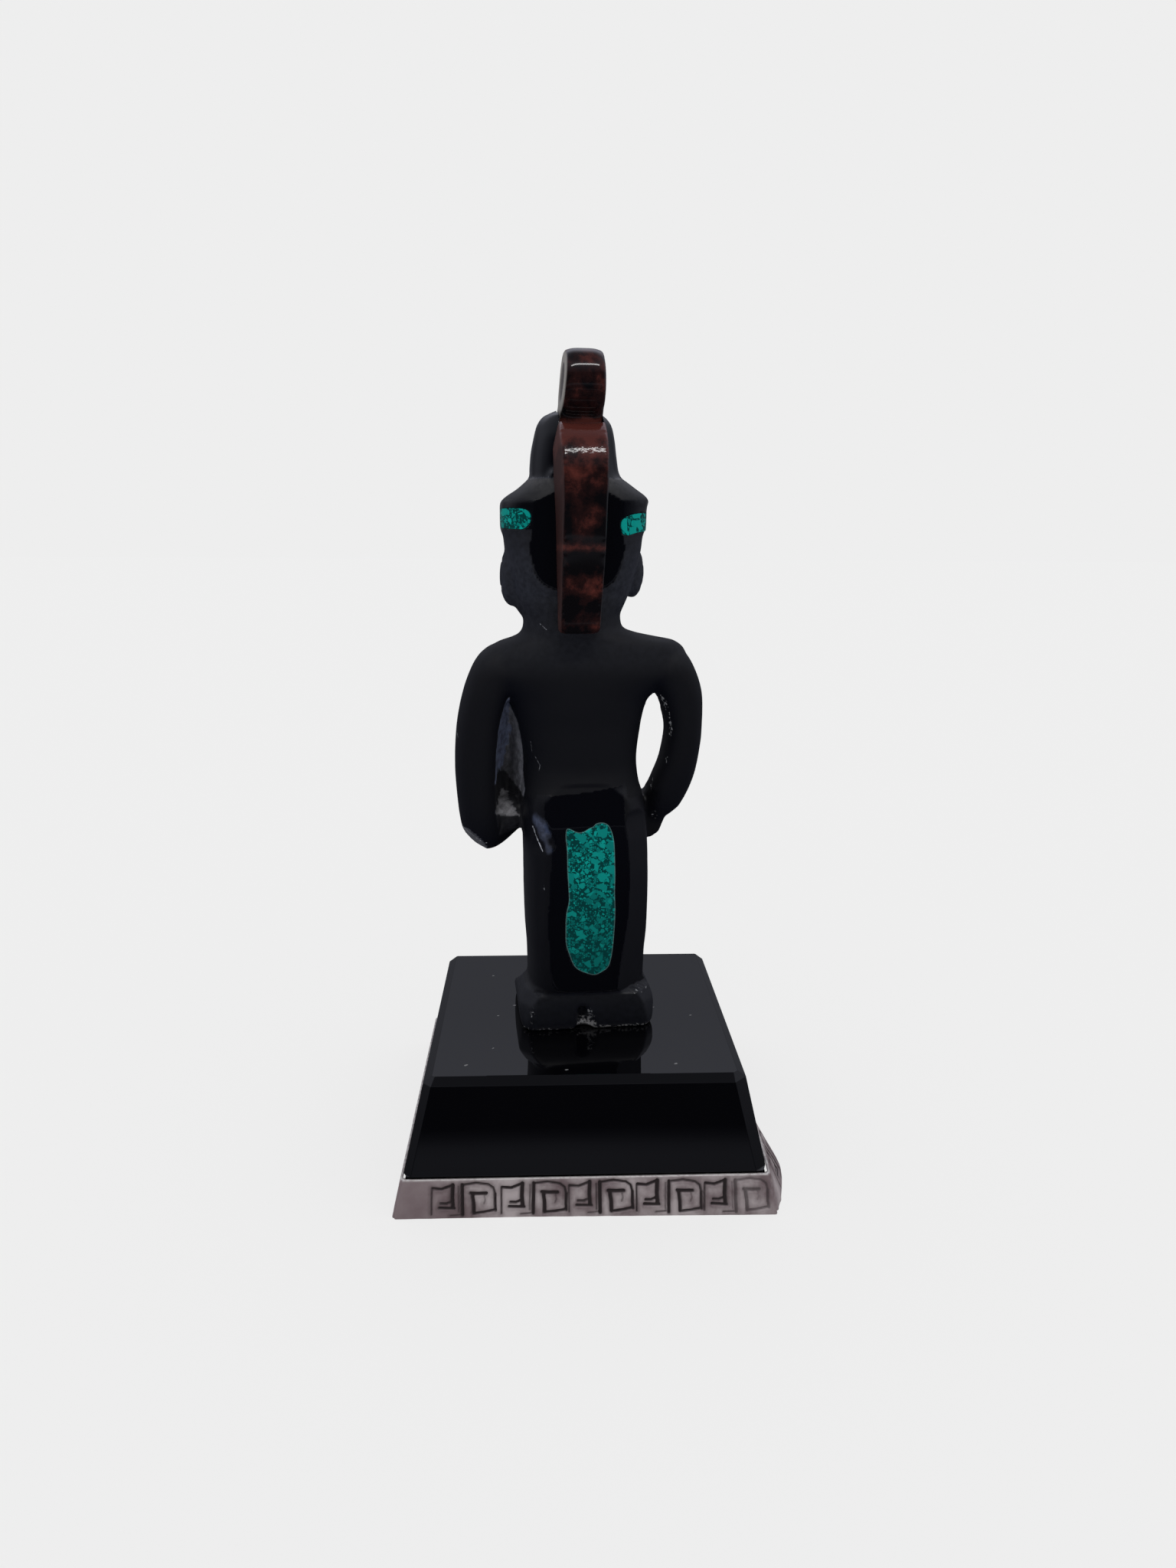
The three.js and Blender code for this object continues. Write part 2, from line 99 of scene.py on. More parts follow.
def side_at(height):
    return BASE_HALF - SIDE_LEAN * height


def square_ring(height, half, share=1, far=0):
    """A square with its corners cut, counter-clockwise; far is how much further it reaches to -Y."""
    ring = []
    for index, (x, y) in enumerate(((1, -1), (1, 1), (-1, 1), (-1, -1))):
        cut = share * CORNER_CUTS[index]
        inset = (cut, 0) if index % 2 == 0 else (0, cut)
        for across, along in (inset, inset[::-1]):
            ring.append(Vector((x * (half - across), y * (half - along) - (far if y < 0 else 0), height)))
    return ring


def only(items, kind):
    return [item for item in items if isinstance(item, kind)]


def skin(bm, rings):
    """A closed body: one loop of edges is drawn out from ring to ring, then both ends are capped."""
    loop = bmesh.ops.create_circle(bm, segments=len(rings[0]), radius=1)["verts"]
    loop.sort(key=lambda vert: atan2(vert.co.y, vert.co.x))
    loops = []
    for ring in rings:
        if loops:
            fresh = set(only(bmesh.ops.extrude_edge_only(bm, edges=loops[-1])["geom"], bmesh.types.BMVert))
            loop = [next(far for far in (edge.other_vert(vert) for edge in vert.link_edges) if far in fresh)
                    for vert in loop]
        for vert, place in zip(loop, ring):
            vert.co = place
        loops.append([bm.edges.get((a, b)) for a, b in zip(loop, loop[1:] + loop[:1])])
    for edges in (loops[0], loops[-1]):
        bmesh.ops.edgeloop_fill(bm, edges=edges)


def point_outward(bm):
    bmesh.ops.recalc_face_normals(bm, faces=bm.faces)


def bevelled(bm, edges, offset, segments=2):
    bmesh.ops.bevel(bm, geom=edges, offset=offset, segments=segments, profile=0.5, affect="EDGES", material=-1)


def made(bm, name):
    """The shape as an object in the scene."""
    mesh = bpy.data.meshes.new(name)
    bm.to_mesh(mesh)
    bm.free()
    return into_scene(name, mesh)


def finish_piece(bm, name, material, node, smooth=True, turn=0):
    """A shape in millimetres becomes a piece in metres, in its place, that stands for its CAD node."""
    bmesh.ops.transform(bm, matrix=Matrix.Scale(MM, 4) @ Matrix.Rotation(turn, 4, "Z"), verts=bm.verts)
    piece = made(bm, name)
    piece.data.polygons.foreach_set("use_smooth", [smooth] * len(piece.data.polygons))
    piece.data.materials.append(material)
    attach(piece, "root")
    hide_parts(node)


def fill(node, inputs):
    """Each named or numbered input of a node takes a plain value, or a link where a socket is given."""
    for key, value in inputs.items():
        socket = node.inputs[key.replace("_", " ") if isinstance(key, str) else key]
        if isinstance(value, bpy.types.NodeSocket):
            node.id_data.links.new(value, socket)
        else:
            socket.default_value = value


def new_material(name, **inputs):
    material = bpy.data.materials.new(name)
    material.use_nodes = True
    shader = material.node_tree.nodes["Principled BSDF"]
    fill(shader, inputs)
    return material, material.node_tree, shader


def put(tree, kind, **inputs):
    node = tree.nodes.new("ShaderNode" + kind)
    fill(node, inputs)
    return node


def object_place(tree):
    return put(tree, "TexCoord").outputs["Object"]


def attribute(tree, name):
    node = put(tree, "Attribute")
    node.attribute_name = name
    return node.outputs["Fac"]


def cloudy(tree, scale, detail, roughness=0.5):
    """Noise that stays with the piece, around a half."""
    return put(tree, "TexNoise", Vector=object_place(tree), Scale=scale, Detail=detail,
               Roughness=roughness).outputs["Fac"]


def ranged(source, low, high, out_low=0, out_high=1):
    """The source from low to high, spread from out_low to out_high."""
    return put(source.id_data, "MapRange", Value=source, From_Min=low, From_Max=high, To_Min=out_low,
               To_Max=out_high).outputs["Result"]


def blended(factor, first, second):
    """Colour from first to second, each a plain colour or a socket."""
    node = put(factor.id_data, "Mix")
    node.data_type = "RGBA"
    fill(node, {0: factor, 6: first, 7: second})
    return node.outputs[2]


def maths(operation, *values, kind="Math", output="Value", **inputs):
    """A sum of sockets and numbers, in the tree of the first, which is a socket."""
    node = put(values[0].id_data, kind)
    node.operation = operation
    fill(node, {**dict(enumerate(values)), **inputs})
    return node.outputs[output]


def new_group(name, **inputs):
    """A shared effect that puts out a mask. Each input is given with its kind."""
    group = bpy.data.node_groups.new(name, "ShaderNodeTree")
    for socket, kind in inputs.items():
        group.interface.new_socket(socket.replace("_", " "), in_out="INPUT", socket_type="NodeSocket" + kind)
    group.interface.new_socket("Mask", in_out="OUTPUT", socket_type="NodeSocketFloat")
    return group, group.nodes.new("NodeGroupInput").outputs, group.nodes.new("NodeGroupOutput")


def masked(tree, group, **inputs):
    """A shared effect put to use: its mask."""
    node = put(tree, "Group")
    node.node_tree = group
    fill(node, inputs)
    return node.outputs["Mask"]


# sparse flecks: the mask is 1 on a fleck, and the amount is the share of cells that hold one
dust_flecks, given, result = new_group(
    "dust_flecks", Vector="Vector", Scale="Float", Amount="Float", Size="Float")
cells = put(dust_flecks, "TexVoronoi", Vector=given["Vector"], Scale=given["Scale"]).outputs
lot = put(dust_flecks, "SeparateColor", Color=cells["Color"]).outputs["Red"]
chosen = maths("LESS_THAN", lot, given["Amount"])
near = maths("LESS_THAN", cells["Distance"], given["Size"])
fill(result, {"Mask": maths("MULTIPLY", chosen, near)})

# a fine line from a start, as far as its reach: the mask is 1 on it
fine_line, given, result = new_group(
    "fine_line", Vector="Vector", Start="Vector", Reach="Vector", Half_Width="Float")
reach = given["Reach"]
away = maths("SUBTRACT", given["Vector"], given["Start"], kind="VectorMath", output="Vector")
along, length = (maths("DOT_PRODUCT", vector, reach, kind="VectorMath") for vector in (away, reach))
share = ranged(maths("DIVIDE", along, length), 0, 1)
nearest = maths("SCALE", reach, kind="VectorMath", output="Vector", Scale=share)
apart = maths("DISTANCE", away, nearest, kind="VectorMath")
fill(result, {"Mask": maths("LESS_THAN", apart, given["Half Width"])})


def scratched(place, wide, light, start, end):
    """A line of a width in millimetres between two points of the piece, and how light it is."""
    tree, start, end = place.id_data, Vector(start), Vector(end)
    line = masked(tree, fine_line, Vector=place, Start=start * MM, Reach=(end - start) * MM,
                  Half_Width=ranged(cloudy(tree, 1400, 1), 0.35, 0.6, 0, wide * MM))
    return maths("MULTIPLY", line, light)


BASE_BLACK = (0.0014, 0.0014, 0.0022, 1)
DUST = (0.3, 0.3, 0.31, 1)
# specks of dust on the top: x, y
SPECKS = [(22.1, -20.3), (19.7, 3.6), (20.2, 20.2), (25.6, 27.8), (3.9, 30.4), (-26.2, 4.4), (-17.8, -0.3),
          (16, -2.2), (-19.8, 28.4)]
base_glass, tree, shader = new_material("polished_base_obsidian", IOR=1.5)
specks = masked(tree, dust_flecks, Vector=object_place(tree), Scale=190, Amount=0.012, Size=0.075)
colour = blended(specks, BASE_BLACK, DUST)
for x, y in SPECKS:
    speck = scratched(object_place(tree), 0.3, 0.8, (x, y, BASE_TOP), (x + 0.25, y + 0.15, BASE_TOP))
    colour = blended(speck, colour, DUST)
film = ranged(cloudy(tree, 55, 4), 0.35, 0.75, 0.015, 0.04)
fill(shader, {"Base Color": colour, "Roughness": maths("MULTIPLY_ADD", specks, 0.6, film)})

block = bmesh.new()
shoulder = BASE_TOP - CHAMFER_DOWN
skin(block, [
    square_ring(0, side_at(0) - REBATE, 0.15),
    square_ring(BAND_TALL + 0.2, side_at(BAND_TALL + 0.2) - REBATE, 0.15),
    square_ring(BAND_TALL + 0.3, side_at(BAND_TALL + 0.3), 0.9),
    square_ring(shoulder, side_at(shoulder)),
    square_ring(BASE_TOP, side_at(shoulder) - CHAMFER_OUT, 0.35, CHAMFER_OUT - FAR_OUT),
])
point_outward(block)
above_band = [edge for edge in block.edges if max(vert.co.z for vert in edge.verts) > BAND_TALL + 0.25]
bevelled(block, above_band, 0.07)
finish_piece(block, "polished_base", base_glass, "base_block", smooth=False)

# Stamped band
# A thin silver-coloured sheet folded round the foot of the block and glued, its top edge worn bright, with
# painted glints along it.
# A fret was struck into it by hand, one punch after another, and tarnish has darkened the hollows; tarnish and
# painted shade darken the sheet beside each stroke.
SHEET = 0.42
FOLD = 0.9
STAMP_DEEP = 0.34
COLUMNS, ROWS = 1640, 34
# a punch is a list of strokes: half-width, share of the depth, then its points (right, up)
HOOK_PUNCH = [
    [0.26, 0.85, (0, 0.9), (0.05, 6.2)],
    [0.38, 0.95, (0.2, 6.3), (2.1, 6.1), (4.2, 6.8)],
    [0.52, 1, (4.5, 6.9), (4.35, 4.4), (4.5, 2.4)],
    [0.36, 0.9, (4.2, 3.5), (3.1, 3.1), (1.9, 3.15)],
    [0.36, 1, (4.8, 2.1), (1.6, 2.25)],
    [0.2, 0.8, (4, 0.65), (6.2, 0.75)],
]
COIL_PUNCH = [
    [0.26, 0.7, (-0.75, 1.4), (-0.7, 6.6)],
    [0.46, 1, (0, 0.7), (0.05, 6.9)],
    [0.34, 0.9, (0.4, 6.9), (3, 7.2), (5.6, 6.8), (6.6, 6.1), (6.95, 4.8)],
    [0.4, 0.95, (6.95, 4.8), (6.9, 2.6), (7, 1.4)],
    [0.46, 1, (1.8, 5.1), (3.4, 5), (5.1, 5)],
    [0.5, 1, (2.1, 5), (2.4, 2.8), (2.4, 1)],
    [0.36, 0.95, (2.6, 0.95), (4.6, 1.15), (7, 1.55)],
    [0.26, 0.6, (4.7, 4.6), (4.9, 3.6), (4.6, 2.9)],
]
PAIR_STARTS = [-32.9, -18, -3.6, 10.8, 25.1]
COIL_AFTER_HOOK = 6.6
STROKE_WIDE, STROKE_REACH, STAMP_EDGE, TARNISH_AND_SHADE_REACH = 0.86, 1.4, 0.36, 0.55
SPRING_AT, SPRING_WIDE, SPRING_OUT = -23.5, 13.4, 3.9
FOOT_OUT = 0.9


def struck_strokes(side):
    """Every stroke on one side of the band, each punch set a little off true."""
    hand = random.Random(40 + side)
    strokes = []
    for start in PAIR_STARTS:
        for punch, right in ((HOOK_PUNCH, start), (COIL_PUNCH, start + COIL_AFTER_HOOK)):
            tilt, slip, lift = hand.uniform(-0.02, 0.02), hand.uniform(-0.15, 0.15), hand.uniform(-0.1, 0.1)
            force = hand.uniform(0.85, 1) if right < 30 else 0.65
            for half, share, *points in punch:
                placed = [(right + slip + x - tilt * y, lift + y + tilt * x) for x, y in points]
                strokes += [(half * STROKE_WIDE, share * force, a, b) for a, b in zip(placed, placed[1:])]
    return strokes


def stamp_depth(strokes, right, up):
    """How deep the sheet is struck at one point, and how near to a stroke it is, which sets the tarnish and
    painted shade beside it, both from 0 to 1.
    """
    deepest, nearest = 0, 0
    for half, share, (ax, ay), (bx, by) in strokes:
        dx, dy = bx - ax, by - ay
        t = limited(((right - ax) * dx + (up - ay) * dy) / (dx * dx + dy * dy))
        away = hypot(right - ax - t * dx, up - ay - t * dy)
        edge = limited((half + 0.2 - away) / STAMP_EDGE)
        deepest = max(deepest, share * edge * edge * (3 - 2 * edge))
        # beside a stroke the sheet gets tarnish and painted shade, fading with distance
        nearest = max(nearest, share * exp(-(max(0, away - half) / TARNISH_AND_SHADE_REACH) ** 2))
    return deepest, nearest


def band_place(along, up, inset):
    """A point of the band. along runs from 0 to 4 round the sides, to the right as each is seen."""
    half = side_at(up) + SHEET_PROUD - inset
    side = int(along + 1e-6) % 4
    right = (along - side - 0.5) * 2 * half if along < 4 else -half
    fold = max(0, abs(right) - (half - FOLD))
    out = half - fold * fold / (2 * FOLD)
    across = copysign(abs(right) - fold * fold / (2 * FOLD), right)
    if side == 1:
        # here the foot of the sheet has sprung away from the block
        spread = exp(-((right - SPRING_AT) / SPRING_WIDE) ** 2) * min(1, (half + right) / 4)
        out += SPRING_OUT * spread * (0.12 + 0.88 * max(0, 1 - up / BAND_TALL) ** 0.8)
    if side == 0:
        out += FOOT_OUT * limited((right + 12) / 50) * max(0, 1 - up / BAND_TALL)
    angle = radians(90 * (side + 1))
    outward = Vector((cos(angle), sin(angle), 0))
    rightward = Vector((-sin(angle), cos(angle), 0))
    return outward * out + rightward * across + Vector((0, 0, up)), right, side


def new_layers(bm, *names):
    return [bm.verts.layers.float.new(name) for name in names]


band = bmesh.new()
stamp_layer, lip_layer, stain_and_shade_layer = new_layers(band, "stamp", "lip", "stain_and_shade")
bmesh.ops.create_grid(band, x_segments=COLUMNS, y_segments=ROWS, size=1)
side_strokes = [struck_strokes(side) for side in range(4)]
near_strokes = {}
for vert in band.verts:
    along = (vert.co.x + 1) * 2
    up = (vert.co.y + 1) / 2 * BAND_TALL
    _, right, side = band_place(along, up, 0)
    column = (side, round(right))
    if column not in near_strokes:
        near_strokes[column] = [
            (half, share, a, b) for half, share, a, b in side_strokes[side]
            if min(a[0], b[0]) - STROKE_REACH < right < max(a[0], b[0]) + STROKE_REACH]
    depth, nearest = stamp_depth(near_strokes[column], right, up)
    lip = max(0, 1 - (BAND_TALL - up) / 0.3)
    foot = max(0, 1 - up / 0.35)
    wave = 0.05 * noise.noise(Vector((right * 0.35, up * 0.5, side * 9)))
    vert.co = band_place(along, up, depth * STAMP_DEEP + 0.1 * (lip ** 2 + foot ** 2) - wave)[0]
    vert[stamp_layer] = depth
    vert[lip_layer] = lip
    vert[stain_and_shade_layer] = nearest
bmesh.ops.remove_doubles(band, verts=band.verts, dist=0.004)
rim = [edge for edge in band.edges if edge.is_boundary]
for top in (True, False):
    edges = [edge for edge in rim if (edge.verts[0].co.z > BAND_TALL / 2) == top]
    drawn = bmesh.ops.extrude_edge_only(band, edges=edges)["geom"]
    for vert in only(drawn, bmesh.types.BMVert):
        reach = max(abs(vert.co.x), abs(vert.co.y))
        vert.co.x *= (reach - SHEET) / reach
        vert.co.y *= (reach - SHEET) / reach
        vert[lip_layer] = 0.45 if top else 0
        vert[stain_and_shade_layer] = 0
    if top:
        inner = [edge for edge in only(drawn, bmesh.types.BMEdge) if edge.is_boundary]
        for vert in only(bmesh.ops.extrude_edge_only(band, edges=inner)["geom"], bmesh.types.BMVert):
            vert.co.z -= 0.15
            vert[lip_layer], vert[stamp_layer] = 0, 1
bmesh.ops.bridge_loops(band, edges=[edge for edge in band.edges if edge.is_boundary])
point_outward(band)

HOLLOW_DARK = (0.046, 0.034, 0.036, 1)
# tarnish brown, also the colour of the painted shade beside the strokes
TARNISH_AND_SHADE_BROWN = (0.165, 0.118, 0.126, 1)
TARNISH_MAUVE = (0.33, 0.25, 0.266, 1)
TARNISH_GREY = (0.73, 0.65, 0.66, 1)
# worn edge colour, also used for the painted glints on the top edge
WORN_EDGE_AND_GLINT = (0.9, 0.88, 0.86, 1)
tarnished, tree, shader = new_material("tarnished_sheet", Metallic=0.5)
clouds, glint_noise = cloudy(tree, 85, 5, 0.6), cloudy(tree, 900, 3)
left_end = put(tree, "SeparateXYZ", Vector=object_place(tree)).outputs["X"]
stain_and_shade = blended(ranged(clouds, 0.4, 0.6), TARNISH_MAUVE, TARNISH_GREY)
stain_and_shade = blended(ranged(left_end, 0.026, 0.034, 0, 0.8), stain_and_shade, TARNISH_MAUVE)
# tarnish and painted shade beside each stroke, in brown
stain_and_shade = blended(maths("MULTIPLY", attribute(tree, "stain_and_shade"), ranged(clouds, 0.34, 0.64, 0.8, 0.3)),
                stain_and_shade, TARNISH_AND_SHADE_BROWN)
stain_and_shade = blended(ranged(attribute(tree, "stamp"), 0.25, 0.85), stain_and_shade, HOLLOW_DARK)
# the worn top edge, lighter for wear and broken up by painted glints
stain_and_shade = blended(maths("MULTIPLY", attribute(tree, "lip"), ranged(glint_noise, 0.42, 0.56, 0.55, 1)),
                stain_and_shade, WORN_EDGE_AND_GLINT)
fill(shader, {"Base Color": stain_and_shade, "Roughness": ranged(clouds, 0.3, 0.7, 0.46, 0.6)})
finish_piece(band, "stamped_band", tarnished, "base_band")

# Figure
# One carving in black obsidian, from the feet to the cap, turned a few degrees on its base and glued.
# It was sawn, ground with wheels and smoothed; some faces were then polished, and the armpit left raw.
FIGURE_TURN = radians(5)
FOOT_LEVEL = BASE_TOP + 0.05
# how high the figure's parts begin and end
PANEL_FOOT, FEET_TOP, SKIRT_TOP, NAPE, BRIM_FOOT, BRIM_TOP, CAP_FOOT = 37.2, 37.6, 83, 126, 141, 147.2, 151.6
VOXEL, CREST_VOXEL = 0.48, 0.3
# height, centre, half-width, depth in front, depth behind, squareness
TRUNK = [
    [31, -1.1, 12.2, 9.6, 9.4, 3.6],
    [36.8, -0.9, 13, 10.3, 10.4, 3.6],
    [38.4, -0.8, 13.4, 10.5, 12.8, 3.5],
    [45, -0.8, 13.6, 10.6, 13.4, 3.4],
    [52, -0.8, 14.1, 10.8, 13.4, 3.4],
    [62, -0.8, 14.3, 11, 13.4, 3.2],
    [70, -0.7, 14.3, 11, 13.4, 3],
    [79, -0.2, 14.1, 10.8, 13.2, 2.9],
    [81.6, 0, 13.9, 10.5, 12.6, 2.8],
    [83.6, 0.1, 13.6, 10.2, 11.4, 2.8],
    [85.4, 0.28, 13.2, 10, 10.2, 2.7],
    [90, 0.37, 12.8, 9.6, 9.2, 2.5],
    [97, 0.55, 13.65, 9.9, 9.2, 2.4],
    [104, 0.8, 15.6, 10.6, 9.6, 2.4],
    [107.5, 0.4, 19.7, 10.8, 9.6, 2.4],
    [110.5, -0.2, 24.7, 10.6, 9.4, 2.3],
    [113.4, -0.2, 23.6, 10, 9.2, 2.3],
    [115.6, -0.9, 22, 9.4, 9, 2.3],
    [117.2, -1.1, 19.5, 9, 8.8, 2.3],
    [118.6, 0.6, 13.8, 8.8, 8.8, 2.2],
    [120.4, 2.3, 11, 8.8, 8.8, 2.2],
    [126, 2.4, 10.6, 9.4, 9, 2.2],
]
HEAD = [
    [120.6, 2.4, 9, 8, 8.4, 2.2],
    [122.6, 2.4, 10.4, 12, 8.8, 2.3],
    [127, 2.3, 12.2, 14.4, 8.95, 2.6],
    [129, 2.3, 12.8, 14.6, 9.7, 2.8],
    [130.2, 2.3, 13, 14.7, 10.15, 2.9],
    [132, 2.3, 13.5, 14.8, 10.5, 2.9],
    [137, 2.2, 14.8, 14.6, 10.7, 2.9],
    [140.2, 2.2, 15.2, 15, 10.5, 2.8],
    [141.4, 2.15, 15.8, 16, 10.4, 2.7],
    [146.2, 2.1, 15.9, 16.2, 10.4, 2.7],
    [147, 1.8, 16.1, 15.8, 10.25, 2.7],
    [147.9, 1.5, 15.5, 15, 9.95, 2.6],
    [149.6, 1.3, 13.1, 13, 9.5, 2.5],
    [151.5, 1.5, 10.7, 11.2, 9, 2.3],
    [152.2, 1.7, 9.8, 10.7, 8.8, 2.3],
    [153.6, 2, 9.6, 10.4, 8.7, 2.2],
    [157, 2.1, 9.2, 9.8, 8.6, 2.1],
    [160, 2, 8.7, 9, 8.2, 2.1],
    [162.6, 1.95, 8.1, 8, 7.4, 2],
    [164.8, 2, 6.4, 6.4, 6, 2],
    [166, 1.9, 3.6, 4.2, 4, 2],
]
# x, y, z, half-width, half-depth, from the shoulder to the hand
LEFT_ARM = [
    [16.2, 0, 113.8, 4.4, 5],
    [19.4, 0.2, 110.5, 5.2, 7], [22.3, 0.6, 104, 4.9, 6.9], [23.7, 0.6, 97, 4.8, 6.8],
    [24.2, 0.4, 88, 4.7, 6.6], [23.8, 0, 80, 4.5, 6.2], [22.3, -2.2, 74, 4.5, 5.2],
    [18, -7, 73.2, 4.2, 4.4], [13, -11.4, 74, 3.7, 4], [8, -12.8, 74.8, 3.2, 3.4],
]
RIGHT_ARM = [
    [-16.4, 0, 113.8, 4.4, 5],
    [-19.6, 0.2, 110.5, 5.3, 7], [-22.55, 0.6, 104, 4.75, 6.8], [-23.2, 0.6, 97, 4.05, 6.6],
    [-22.4, 0.2, 90, 4.2, 6.2], [-20.5, -0.8, 83.6, 4.4, 5.6], [-18.2, -3.6, 78, 4.5, 5],
    [-15.2, -8, 74.6, 4.2, 4.4], [-11.4, -11.8, 73.8, 3.6, 4], [-6.8, -12.8, 74.6, 3, 3.3],
]
# the raw web that closes the left armpit: height, ribs, valley, arm, and how deep the valley lies
ARMPIT = [[74.5, 12.4, 16.8, 21.6, -4.2], [80, 12.4, 17, 23, -5.4], [90, 12.4, 16.6, 23, -6.2],
          [98, 13.4, 16, 22.4, -5.6], [104.5, 15.6, 17.6, 21, -3]]
HEAD_FLAT = 9.35
PANEL_BACK = 12.2
FLANK_LEAN, BELT_LEAN = radians(43), radians(17)
FLANK_REACH = 16.4
# where the polished panel ends and the leaning flanks begin: height, x
PANEL_LEFT = [[37, 8.6], [50, 9.2], [61, 9], [70, 8.7], [72.5, 8.3], [77.5, 10.7], [80, 12.6]]
PANEL_RIGHT = [[37, -6.9], [42, -7.3], [50, -8.4], [58, -9.4], [63, -9.5], [73, -9],
               [79, -8.2], [82, -9.6]]
EYE_LEVEL, MOUTH_LEVEL, FACE_X = 134.2, 127, 2.3


def eased(keys, at, column=1):
    """A value at one place, on a smooth curve through the keys that never overshoots them."""
    last = len(keys) - 1
    if at <= keys[0][0]:
        return keys[0][column]
    if at >= keys[last][0]:
        return keys[last][column]
    k = max(index for index, key in enumerate(keys) if key[0] <= at)

    def slope(index):
        if index in (0, last):
            return 0
        before = (keys[index][column] - keys[index - 1][column]) / (keys[index][0] - keys[index - 1][0])
        after = (keys[index + 1][column] - keys[index][column]) / (keys[index + 1][0] - keys[index][0])
        return 0 if before * after <= 0 else 2 * before * after / (before + after)

    gap = keys[k + 1][0] - keys[k][0]
    t = (at - keys[k][0]) / gap
    blend = t * t * (3 - 2 * t)
    return (keys[k][column] * (1 - blend) + keys[k + 1][column] * blend
            + gap * (slope(k) * t * (1 - t) ** 2 - slope(k + 1) * t * t * (1 - t)))


def squared_point(keys, height, turn, grow=0):
    """A point of a flattened, squared-off ring, turn going round it from the left."""
    centre, half, front, back, power = (eased(keys, height, column) for column in range(1, 6))
    c, s = cos(turn), sin(turn)
    reach = (abs(c) ** power + abs(s) ** power) ** (-1 / power)
    depth = front if s < 0 else back
    return Vector((centre + c * reach * (half + grow), s * reach * (depth + grow), height))


def stack(bm, keys, step, sides):
    count = round((keys[-1][0] - keys[0][0]) / step)
    heights = [keys[0][0] + (keys[-1][0] - keys[0][0]) * level / count for level in range(count + 1)]
    skin(bm, [[squared_point(keys, height, (i + 0.5) / sides * tau) for i in range(sides)]
              for height in heights])


def clear_away(item):
    mesh = item.data
    bpy.data.objects.remove(item)
    bpy.data.meshes.remove(mesh)


def limb(bm, stops, cuts):
    """An arm: oval sections carried along its stops, then sawn flat by each cut (point, outward way)."""
    keys = [[index, *stop] for index, stop in enumerate(stops)]
    arm = bmesh.new()
    steps, sides, side_way = 72, 40, Vector((1, 0, 0))
    rings = []
    for step in range(steps + 1):
        at = step / steps * (len(stops) - 1)
        centre, after, before = (Vector([eased(keys, place, column) for column in (1, 2, 3)])
                                 for place in (at, at + 0.05, at - 0.05))
        along = (after - before).normalized()
        side_way = (side_way - along * side_way.dot(along)).normalized()
        deep_way = along.cross(side_way)
        end = 1 - 0.4 * max(0, 1 - min(step, steps - step) / 4) ** 2
        ring = []
        for i in range(sides):
            turn = (i + 0.5) / sides * tau
            c, s = cos(turn), sin(turn)
            reach = end * (abs(c) ** 2.5 + abs(s) ** 2.5) ** -0.4
            ring.append(centre + side_way * (c * reach * eased(keys, at, 4))
                        + deep_way * (s * reach * eased(keys, at, 5)))
        rings.append(ring)
    skin(arm, rings)
    for point, outward in cuts:
        cut = bmesh.ops.bisect_plane(arm, geom=[*arm.verts, *arm.edges, *arm.faces], plane_co=point,
                                     plane_no=outward, clear_outer=True)["geom_cut"]
        bmesh.ops.edgeloop_fill(arm, edges=only(cut, bmesh.types.BMEdge))
    part = made(arm, "limb")
    bm.from_mesh(part.data)
    clear_away(part)


def prism(bm, corners, levels):
    """A body drawn through levels: a height, then the sizes that its corners' x and y come from."""
    skin(bm, [[Vector((x, y, height)) for x, y in corners(*sizes)] for height, *sizes in levels])


def balls(bm, *rows):
    """Balls run into the body: x, y, z, half-width, half-depth, half-height, and a turn or none."""
    for x, y, z, wide, deep, tall, *turn in rows:
        matrix = (Matrix.Translation((x, y, z)) @ Matrix.Rotation(turn[0] if turn else 0, 4, "Y")
                  @ Matrix.Diagonal((wide, deep, tall, 1)))
        bmesh.ops.create_icosphere(bm, subdivisions=4, radius=1, matrix=matrix)


carving = bmesh.new()
stack(carving, TRUNK, 0.8, 96)
stack(carving, HEAD, 0.7, 96)
ELBOW_FACE, ELBOW_POINT = Vector((0.62, 0.35, -0.7)), Vector((22.5, 3, 71.2))
limb(carving, LEFT_ARM, [((27.9, 0, 76), (0.957, 0, -0.29)), (ELBOW_POINT, ELBOW_FACE),
                         ((22.6, 0, 69.3), (0.33, 0.05, -0.94)), ((17, 0, 71.3), (-0.58, 0.1, -0.81))])
limb(carving, RIGHT_ARM, [((-21.7, 0, 78), (-0.66, 0, -0.75)), ((-23, 0, 79.6), (-0.894, 0, -0.447))])
prism(carving, lambda right: ((right, -8.6), (-11.6, -8.6), (-11.6, 0.2), (right, 0.6)),
      ((71, -16.6), (72.4, -18.3), (77.8, -20.5), (81, -20.5)))
prism(carving, lambda ribs, valley, arm, deep: (
    (ribs, -9.2), (arm, -8.2), (arm, 2.4), (valley, deep), (ribs, 0.6)), ARMPIT)
balls(carving, (16.8, -2.6, 77.4, 4.2, 5.2, 4, 0.3))

# feet: one block under the skirt with its corners taken off, cleft behind and in front
# height, middle, half-width, depth in front, depth behind, how much the corners behind are cut
FEET = [[FOOT_LEVEL, -0.5, 15.1, 15.4, 11.5, 1.6], [30.6, -0.5, 15.7, 15.2, 11.9, 2.2],
        [32.6, -0.45, 15.9, 11.4, 11.9, 2.8], [34.4, -0.4, 15.9, 8, 11.9, 3.2],
        [36.4, -0.5, 15, 4.6, 11.7, 3.6], [37.8, -0.6, 14.2, 4, 11, 3.2]]
prism(carving, lambda middle, half, front, back, corner: [
    (middle + x * (half - a), y) for x, y, a in (
        (1, back - 1.3 * corner, 0), (1, back, corner), (-1, back, corner), (-1, back - 1.3 * corner, 0),
        (-1, 2 - front, 0), (-1, -front, 2), (1, -front, 2), (1, 2 - front, 0))], FEET)

